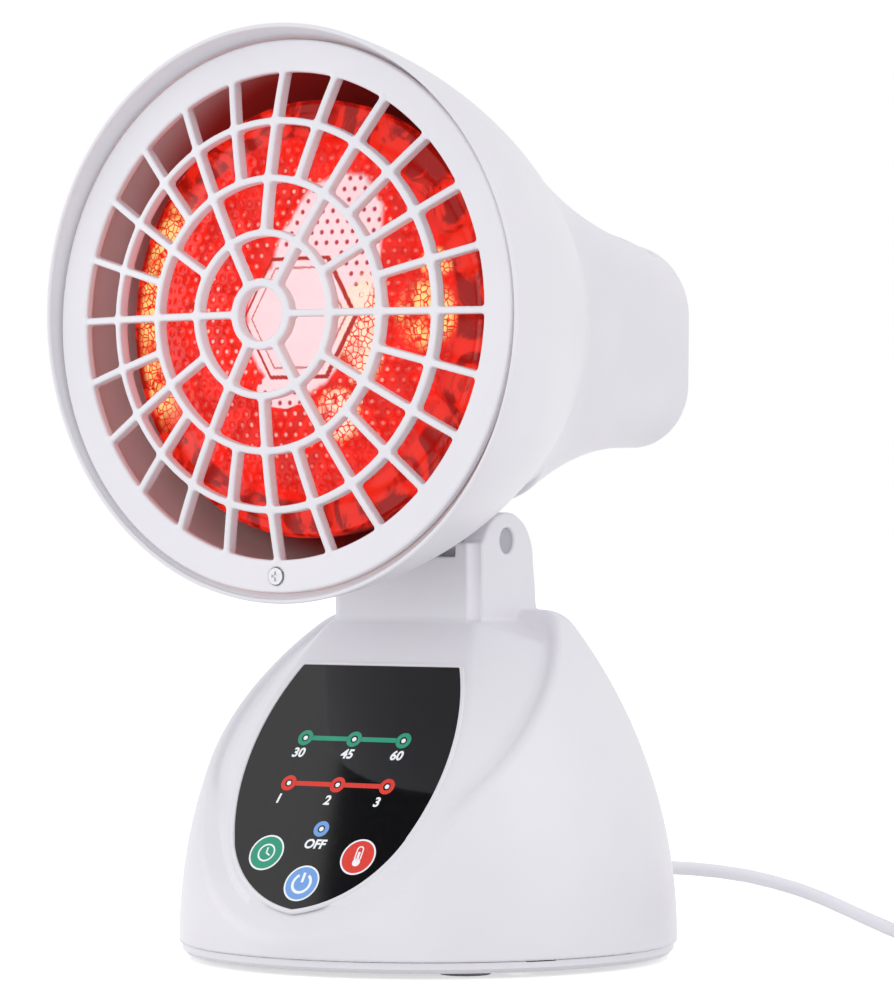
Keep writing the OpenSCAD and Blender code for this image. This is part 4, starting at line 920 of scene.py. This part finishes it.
class Nodes:
    """Short way to add nodes: n("Kind", input=value or output, ...)."""

    def __init__(self, tree):
        self.tree = tree

    def __call__(self, kind, settings=None, **inputs):
        node = self.tree.nodes.new("ShaderNode" + kind)
        for key, value in (settings or {}).items():
            setattr(node, key, value)
        for key, value in inputs.items():
            numbered = key[0] == "i" and key[1:].isdigit()
            socket = node.inputs[int(key[1:]) if numbered else key.replace("_", " ")]
            if isinstance(value, bpy.types.NodeSocket):
                self.tree.links.new(value, socket)
            else:
                socket.default_value = value
        return node

    def math(self, operation, *values):
        inputs = {f"i{index}": value for index, value in enumerate(values)}
        return self("Math", {"operation": operation}, **inputs).outputs[0]


SOCKET = {"colour": "NodeSocketColor", "value": "NodeSocketFloat"}
DUST_GREY = (0.62, 0.6, 0.58, 1)
DRAWN_SHADE = (0.82, 0.82, 0.83, 1)


def effect(name, inputs, outputs, build):
    """A shader node group. inputs: name -> (kind, default); outputs: name -> kind."""
    tree = bpy.data.node_groups.new(name, "ShaderNodeTree")
    for key, (kind, default) in inputs.items():
        tree.interface.new_socket(key, in_out="INPUT", socket_type=SOCKET[kind]).default_value = default
    for key, kind in outputs.items():
        tree.interface.new_socket(key, in_out="OUTPUT", socket_type=SOCKET[kind])
    given = tree.nodes.new("NodeGroupInput")
    result = tree.nodes.new("NodeGroupOutput")
    for key, socket in build(Nodes(tree), given.outputs).items():
        tree.links.new(socket, result.inputs[key])
    return tree


def mix(n, share, a, b, how="MIX"):
    node = n("Mix", {"data_type": "RGBA", "blend_type": how})
    for index, value in ((0, share), (6, a), (7, b)):
        if isinstance(value, bpy.types.NodeSocket):
            n.tree.links.new(value, node.inputs[index])
        else:
            node.inputs[index].default_value = value
    return node.outputs[2]


def span(n, value, a, b, low=0.0, high=1.0):
    return n("MapRange", {"interpolation_type": "SMOOTHSTEP"}, i0=value, i1=a, i2=b, i3=low, i4=high).outputs[0]


def moulded(n, given):
    """Moulded plastic: a slow change of tone, uneven gloss and a fine grain."""
    at = n("TexCoord").outputs["Object"]
    broad = n("TexNoise", Vector=at, Scale=22.0, Detail=3.0, Roughness=0.5).outputs[0]
    fine = n("TexNoise", Vector=at, Scale=given["Grain"], Detail=2.0, Roughness=0.6).outputs[0]
    deep = mix(n, 1.0, given["Colour"], given["Shade"], "MULTIPLY")
    tone = span(n, broad, 0.35, 0.68)
    rough = n.math("MULTIPLY_ADD", n.math("MULTIPLY_ADD", broad, 0.5, fine), given["Unevenness"], given["Roughness"])
    return {"Colour": mix(n, tone, given["Colour"], deep), "Roughness": rough, "Height": fine}


MOULDED = effect(
    "moulded_skin",
    {"Colour": ("colour", (0.8, 0.8, 0.8, 1)), "Shade": ("colour", (0.97, 0.965, 0.975, 1)), "Grain": ("value", 1800.0),
     "Roughness": ("value", 0.35), "Unevenness": ("value", 0.08)},
    {"Colour": "colour", "Roughness": "value", "Height": "value"}, moulded,
)


def settled(n, given):
    """A little dust on what faces up."""
    at = n("TexCoord").outputs["Object"]
    up = n("SeparateXYZ", Vector=n("NewGeometry").outputs["Normal"]).outputs[2]
    specks = n("TexNoise", Vector=at, Scale=420.0, Detail=5.0, Roughness=0.7).outputs[0]
    share = n.math("MULTIPLY", span(n, up, 0.25, 0.95), span(n, specks, 0.45, 0.75))
    share = n.math("MULTIPLY", share, given["Amount"])
    return {"Colour": mix(n, share, given["Colour"], DUST_GREY)}


DUST = effect(
    "settled_dust", {"Colour": ("colour", (0.8, 0.8, 0.8, 1)), "Amount": ("value", 0.2)},
    {"Colour": "colour"}, settled,
)


def drawn(n, given):
    """Drawn metal: fine lines along it in colour, gloss and height."""
    at = n("TexCoord").outputs["Object"]
    stretched = n("Mapping", Vector=at, Scale=(60.0, 60.0, 2600.0)).outputs[0]
    lines = n("TexNoise", Vector=stretched, Scale=1.0, Detail=3.0).outputs[0]
    rough = n.math("MULTIPLY_ADD", lines, 0.22, given["Roughness"])
    deep = mix(n, 1.0, given["Colour"], DRAWN_SHADE, "MULTIPLY")
    return {"Colour": mix(n, span(n, lines, 0.3, 0.7), given["Colour"], deep), "Roughness": rough, "Height": lines}


DRAWN = effect(
    "drawn_metal", {"Colour": ("colour", (0.7, 0.7, 0.7, 1)), "Roughness": ("value", 0.28)},
    {"Colour": "colour", "Roughness": "value", "Height": "value"}, drawn,
)


def start_finish(name):
    material = bpy.data.materials.new(name)
    material.use_nodes = True
    tree = material.node_tree
    return material, Nodes(tree), tree.nodes["Principled BSDF"]


def place(n, tree, **inputs):
    node = n("Group", {"node_tree": tree})
    for key, value in inputs.items():
        socket = node.inputs[key.replace("_", " ")]
        if isinstance(value, bpy.types.NodeSocket):
            n.tree.links.new(value, socket)
        else:
            socket.default_value = value
    return node.outputs


def rgb(*c):
    return (*c, 1.0)


def plastic(name, colour, roughness=0.36, grain=1800.0, bump=0.04, dust=0.12, coat=0.0):
    material, n, shader = start_finish(name)
    face = place(n, MOULDED, Colour=rgb(*colour), Grain=grain, Roughness=roughness)
    cover = place(n, DUST, Colour=face["Colour"], Amount=dust)
    n.tree.links.new(cover["Colour"], shader.inputs["Base Color"])
    n.tree.links.new(face["Roughness"], shader.inputs["Roughness"])
    relief = n("Bump", Strength=bump, Distance=0.0002, Height=face["Height"])
    n.tree.links.new(relief.outputs[0], shader.inputs["Normal"])
    shader.inputs["Coat Weight"].default_value = coat
    shader.inputs["Coat Roughness"].default_value = 0.08
    return material


def metal(name, colour, roughness=0.25, bump=0.08):
    material, n, shader = start_finish(name)
    face = place(n, DRAWN, Colour=rgb(*colour), Roughness=roughness)
    n.tree.links.new(face["Colour"], shader.inputs["Base Color"])
    n.tree.links.new(face["Roughness"], shader.inputs["Roughness"])
    shader.inputs["Metallic"].default_value = 1.0
    relief = n("Bump", Strength=bump, Distance=0.0001, Height=face["Height"])
    n.tree.links.new(relief.outputs[0], shader.inputs["Normal"])
    return material


def panel_gloss():
    material, n, shader = start_finish("panel_gloss")
    face = place(
        n, MOULDED, Colour=rgb(0.006, 0.006, 0.007), Shade=rgb(0.9, 0.9, 0.9), Grain=600.0, Roughness=0.04,
        Unevenness=0.02,
    )
    cover = place(n, DUST, Colour=face["Colour"], Amount=0.015)
    n.tree.links.new(cover["Colour"], shader.inputs["Base Color"])
    n.tree.links.new(face["Roughness"], shader.inputs["Roughness"])
    return material


# where the painted red light of the bulb fades in on the bell's inside
GLOW_LEAN = 0.16
GLOW_FROM_TO = (-0.022, -0.004)


def bell_inside_painted_bulb_light():
    """Grey in the shade behind the grille; painted red light from the bulb: a pink tint all over, deep red where it
    faces the bulb.
    """
    material, n, shader = start_finish("bell_inside_painted_bulb_light")
    at = n("TexCoord").outputs["Object"]
    _, y, z = n("SeparateXYZ", Vector=at).outputs
    # painted light: red from the bulb, by height and depth in the bell
    painted_red_light = span(n, n.math("MULTIPLY_ADD", z, GLOW_LEAN, y), *GLOW_FROM_TO)
    # the pink base colour is painted red light from the bulb over the white wall
    face = place(n, MOULDED, Colour=rgb(0.97, 0.80, 0.79), Shade=rgb(0.95, 0.94, 0.94), Roughness=0.4)
    red = mix(n, painted_red_light, face["Colour"], rgb(0.85, 0.07, 0.06))
    n.tree.links.new(red, shader.inputs["Base Color"])
    n.tree.links.new(face["Roughness"], shader.inputs["Roughness"])
    relief = n("Bump", Strength=0.04, Distance=0.0002, Height=face["Height"])
    n.tree.links.new(relief.outputs[0], shader.inputs["Normal"])
    return material


def lit_lens():
    """Stippled red glass with the lit filament behind it. Its central glow, the glints on its dimples and the
    filament's caustics are painted light.
    """
    material, n, shader = start_finish("lit_lens")
    at = n("TexCoord").outputs["Object"]
    marks = {mark: n("Attribute", {"attribute_name": mark}).outputs["Fac"] for mark in MARKS}
    dots, line, radius = marks["stipple"], marks["hexagon_line"], marks["lens_r"]
    veins = n("TexVoronoi", {"feature": "DISTANCE_TO_EDGE"}, Vector=at, Scale=560.0, Randomness=0.9).outputs["Distance"]
    ripple = n("TexNoise", Vector=at, Scale=62.0, Detail=5.0, Distortion=2.6).outputs[0]
    patches = n("TexNoise", Vector=at, Scale=120.0, Detail=3.0, Distortion=0.6).outputs[0]
    body = mix(n, span(n, ripple, 0.35, 0.65), rgb(0.86, 0.014, 0.005), rgb(0.62, 0.009, 0.004))
    # painted glints: pale spots on the dimples inside the glow
    pricked = n.math("MULTIPLY", marks["pricked"], span(n, patches, 0.36, 0.6))
    painted_glints = n.math("MULTIPLY", span(n, dots, 0.4, 0.85), pricked)
    body = mix(n, painted_glints, body, rgb(0.95, 0.5, 0.42))
    # painted glow: the pale lobe in the middle, where the reflector shines through
    ragged = n.math("MULTIPLY_ADD", patches, 0.7, marks["frosted"])
    lobe = span(n, ragged, 0.62, 0.95)
    frosted = mix(n, span(n, dots, 0.2, 0.75), rgb(0.84, 0.66, 0.68), rgb(0.42, 0.03, 0.05))
    colour = mix(n, lobe, body, frosted)
    # painted caustics of the filament, broken up into cells
    left, middle = marks["gold_left"], marks["gold_middle"]
    painted_caustics = n.math("MAXIMUM", left, n.math("MAXIMUM", marks["gold_right"], middle))
    cell = n.math("MULTIPLY", span(n, veins, 0.02, 0.16), span(n, patches, 0.3, 0.52))
    painted_caustics = n.math("MULTIPLY", painted_caustics, cell)
    caustic_colour = mix(n, middle, rgb(1.0, 0.72, 0.24), rgb(0.95, 0.75, 0.55))
    colour = mix(n, painted_caustics, colour, caustic_colour)
    colour = mix(n, span(n, line, 0.3, 0.9), colour, rgb(0.42, 0.03, 0.02))
    streaks = mix(n, span(n, ripple, 0.42, 0.58), rgb(0.3, 0.004, 0.002), rgb(0.8, 0.02, 0.008))
    rim = n.math("MULTIPLY", span(n, radius, 50.0, 51.5), n.math("SUBTRACT", 1.0, left))
    colour = mix(n, rim, colour, streaks)
    n.tree.links.new(colour, shader.inputs["Base Color"])
    n.tree.links.new(colour, shader.inputs["Emission Color"])
    shader.inputs["Emission Strength"].default_value = 0.42
    shader.inputs["Roughness"].default_value = 0.16
    shader.inputs["Specular IOR Level"].default_value = 0.3
    relief = n("Bump", Strength=0.15, Distance=0.0004, Height=ripple)
    n.tree.links.new(relief.outputs[0], shader.inputs["Normal"])
    return material


# Emissive finish: on the filament it is a lamp; on the printed inks the glow is painted light.
def glowing(name, colour, strength):
    material, n, shader = start_finish(name)
    face = place(n, MOULDED, Colour=rgb(*colour), Grain=2400.0, Roughness=0.2)
    n.tree.links.new(face["Colour"], shader.inputs["Base Color"])
    n.tree.links.new(face["Colour"], shader.inputs["Emission Color"])
    shader.inputs["Emission Strength"].default_value = strength
    n.tree.links.new(face["Roughness"], shader.inputs["Roughness"])
    return material


WHITE = (0.80, 0.785, 0.82)
shell_white = plastic("shell_white", WHITE, roughness=0.33, grain=1500.0, bump=0.03, dust=0.03)
FINISHES = {
    "shell": shell_white,
    "trim": plastic("grille_white", (0.83, 0.815, 0.85), roughness=0.3, grain=1500.0, bump=0.03, dust=0.03),
    "caps": plastic("cap_grey", (0.42, 0.41, 0.45), roughness=0.42, grain=2200.0, bump=0.06),
    "foot_rubber": plastic("foot_rubber", (0.5, 0.49, 0.53), roughness=0.7, grain=2600.0, bump=0.2, dust=0.3),
    "fastener_steel": metal("screw_steel", (0.72, 0.72, 0.74)),
    "ballast_iron": metal("ballast_iron", (0.2, 0.2, 0.21), roughness=0.5),
    "panel_black": panel_gloss(),
    # The prints glow a little: painted light, as they are ink and no lamp.
    "print_green": glowing("ink_green", (0.022, 0.31, 0.18), 0.06),
    "print_red": glowing("ink_red", (0.72, 0.035, 0.02), 0.06),
    "print_blue": glowing("ink_blue", (0.17, 0.36, 0.74), 0.06),
    "light_pipe": glowing("ink_white", (0.85, 0.88, 0.9), 0.12),
    "circuit_board": plastic("solder_resist", (0.01, 0.09, 0.03), roughness=0.25, grain=900.0, bump=0.1, coat=0.4),
    "dark_plastic": plastic("dark_plastic", (0.01, 0.01, 0.012), roughness=0.45, grain=2000.0, bump=0.1),
    "component_plastic": plastic("dipped_lacquer", (0.45, 0.32, 0.04), roughness=0.25, grain=500.0, bump=0.1, coat=0.5),
    "green_plastic": plastic("terminal_green", (0.02, 0.17, 0.06), roughness=0.4),
    "spacer_nylon": plastic("spacer_nylon", (0.69, 0.67, 0.6), roughness=0.4),
    "spring_brass": metal("spring_brass", (0.72, 0.5, 0.2), roughness=0.2),
    "sink_aluminium": metal("sink_aluminium", (0.78, 0.79, 0.8), roughness=0.32),
    "washer_fibre": plastic("washer_fibre", (0.02, 0.02, 0.022), roughness=0.75, grain=2600.0, bump=0.25),
    "red_glass": lit_lens(),
    "red_reflector": plastic("red_lacquered_glass", (0.42, 0.012, 0.008), roughness=0.12, grain=300.0, coat=0.8),
    "filament_metal": glowing("filament_glow", (1.0, 0.72, 0.3), 3.0),
    "socket_ceramic": plastic("socket_ceramic", (0.83, 0.79, 0.71), roughness=0.6, grain=1200.0, bump=0.15),
    "wire_skin": plastic("sleeve_braid", (0.69, 0.67, 0.6), roughness=0.7, grain=3500.0, bump=0.4),
    "cord_vinyl": plastic("lead_vinyl", (0.93, 0.91, 0.95), roughness=0.38, grain=700.0, bump=0.05),
    "tie_plastic": plastic("tie_plastic", (0.015, 0.015, 0.017), roughness=0.5),
}


def fuse_glass():
    material, n, shader = start_finish("fuse_glass")
    haze = n("TexNoise", Vector=n("TexCoord").outputs["Object"], Scale=300.0, Detail=2.0).outputs[0]
    n.tree.links.new(span(n, haze, 0.3, 0.8, 0.02, 0.1), shader.inputs["Roughness"])
    shader.inputs["Base Color"].default_value = rgb(0.9, 0.95, 0.95)
    shader.inputs["Transmission Weight"].default_value = 0.9
    return material


FINISHES["fuse_glass"] = fuse_glass()


def give(piece, material):
    if not piece.material_slots:
        piece.data.materials.append(material)
    for slot in piece.material_slots:
        slot.material = material


for row in frame["record"]["subparts"]:
    give(frame["nodes"][row["node"]], FINISHES[row["material_slot"]])
for piece, slot in (
    (mains_lead, "cord_vinyl"), (base_cover, "shell"), (panel_rim, "shell"), (head_cover, "shell"),
    (bell_cover, "shell"), (grille, "trim"), (bulb_front, "red_glass"), (timer_print, "print_green"),
    (heat_print, "print_red"), (off_print, "print_blue"), (panel_lines, "light_pipe"),
    *((figure, "light_pipe") for figure in figures),
):
    give(piece, FINISHES[slot])
# the bell's inner faces get the painted red light of the bulb
bell_cover.data.materials.append(bell_inside_painted_bulb_light())
bell_cover.data.polygons.foreach_set("material_index", inner_faces.astype(int).tolist())

# ---------------------------------------------------------------- floor and light

FLOOR_HALF = 6.0
FLOOR_GREY, FLOOR_LIFT = 0.8, 0.6
AMBIENT = 0.86


def studio_white(n, shown):
    """Shown to the camera, in gloss and through glass at this strength, else nothing."""
    path = n("LightPath").outputs
    seen = n.math("MAXIMUM", path["Is Camera Ray"], path["Is Glossy Ray"])
    return n.math("MULTIPLY", n.math("MAXIMUM", seen, path["Is Transmission Ray"]), shown)


def add_floor():
    mesh = bpy.data.meshes.new("floor")
    h = FLOOR_HALF
    mesh.from_pydata([(-h, -h, 0), (h, -h, 0), (h, h, 0), (-h, h, 0)], [], [(0, 1, 2, 3)])
    floor = bpy.data.objects.new("floor", mesh)
    bpy.context.scene.collection.objects.link(floor)
    material = bpy.data.materials.new("studio_floor")
    material.use_nodes = True
    n = Nodes(material.node_tree)
    material.node_tree.nodes.clear()
    matte = n("BsdfDiffuse", Color=rgb(FLOOR_GREY, FLOOR_GREY, FLOOR_GREY))
    lift = n("Emission", Color=rgb(1, 1, 1), Strength=studio_white(n, FLOOR_LIFT))
    both_shaders = n("AddShader", i0=matte.outputs[0], i1=lift.outputs[0])
    n("OutputMaterial", Surface=both_shaders.outputs[0])
    mesh.materials.append(material)


add_floor()


def add_world():
    world = bpy.data.worlds.new("studio")
    bpy.context.scene.world = world
    world.use_nodes = True
    tree = world.node_tree
    tree.nodes.clear()
    n = Nodes(tree)
    ambient = n("Background", Color=rgb(0.97, 0.975, 1.0), Strength=AMBIENT)
    shown = n("Background", Color=rgb(1, 1, 1), Strength=1.0)
    choice = n("MixShader", i0=studio_white(n, 1.0), i1=ambient.outputs[0], i2=shown.outputs[0])
    n("OutputWorld", Surface=choice.outputs[0])


add_world()


def add_softbox(name, place_mm, aim_mm, size, watts):
    data = bpy.data.lights.new(name, "AREA")
    data.shape = "RECTANGLE"
    data.size, data.size_y = size
    data.energy = watts
    lamp = bpy.data.objects.new(name, data)
    lamp.location = Vector(place_mm) * MM
    lamp.rotation_euler = (Vector(aim_mm) - Vector(place_mm)).to_track_quat("-Z", "Y").to_euler()
    bpy.context.scene.collection.objects.link(lamp)


add_softbox("key_from_left", (-1300, -800, 420), (0, 0, 120), (0.9, 0.9), 3.4)
add_softbox("front_fill", (250, -1600, 120), (0, 0, 110), (1.2, 0.9), 5.0)
add_softbox("right_fill", (1100, 0, 350), (0, 0, 120), (0.6, 0.9), 2.0)


def reflected_from_face(u, v, way):
    """Where the camera's ray, mirrored by the control face at (u, v), is after so many mm."""
    p = on_face(np.float64(u), np.float64(v), np.float64(0.1))
    ray = p - np.array(CAMERA_PLACE) / MM
    ray /= np.linalg.norm(ray)
    ray -= 2 * ray.dot(FACE_OUT) * FACE_OUT
    return p + way * ray


def add_dark_card():
    """A dark card well away from the lamp, which the panel mirrors where the bell isn't in the way."""
    corners = [reflected_from_face(u, v, CARD_WAY) for u, v in CARD_CORNERS]
    mesh = bpy.data.meshes.new("dark_card")
    mesh.from_pydata([tuple(c * MM) for c in corners], [], [(0, 1, 2, 3)])
    card = bpy.data.objects.new("dark_card", mesh)
    bpy.context.scene.collection.objects.link(card)
    card.visible_camera = card.visible_diffuse = card.visible_shadow = card.visible_transmission = False
    material, _, shader = start_finish("black_card")
    shader.inputs["Base Color"].default_value = rgb(0.01, 0.01, 0.012)
    shader.inputs["Roughness"].default_value = 1.0
    mesh.materials.append(material)


CARD_WAY = 700.0
CARD_CORNERS = ((-12.0, -8.0), (11.5, 95.0), (55.0, 95.0), (55.0, -8.0))
add_dark_card()

bpy.context.scene.view_settings.view_transform = "Standard"
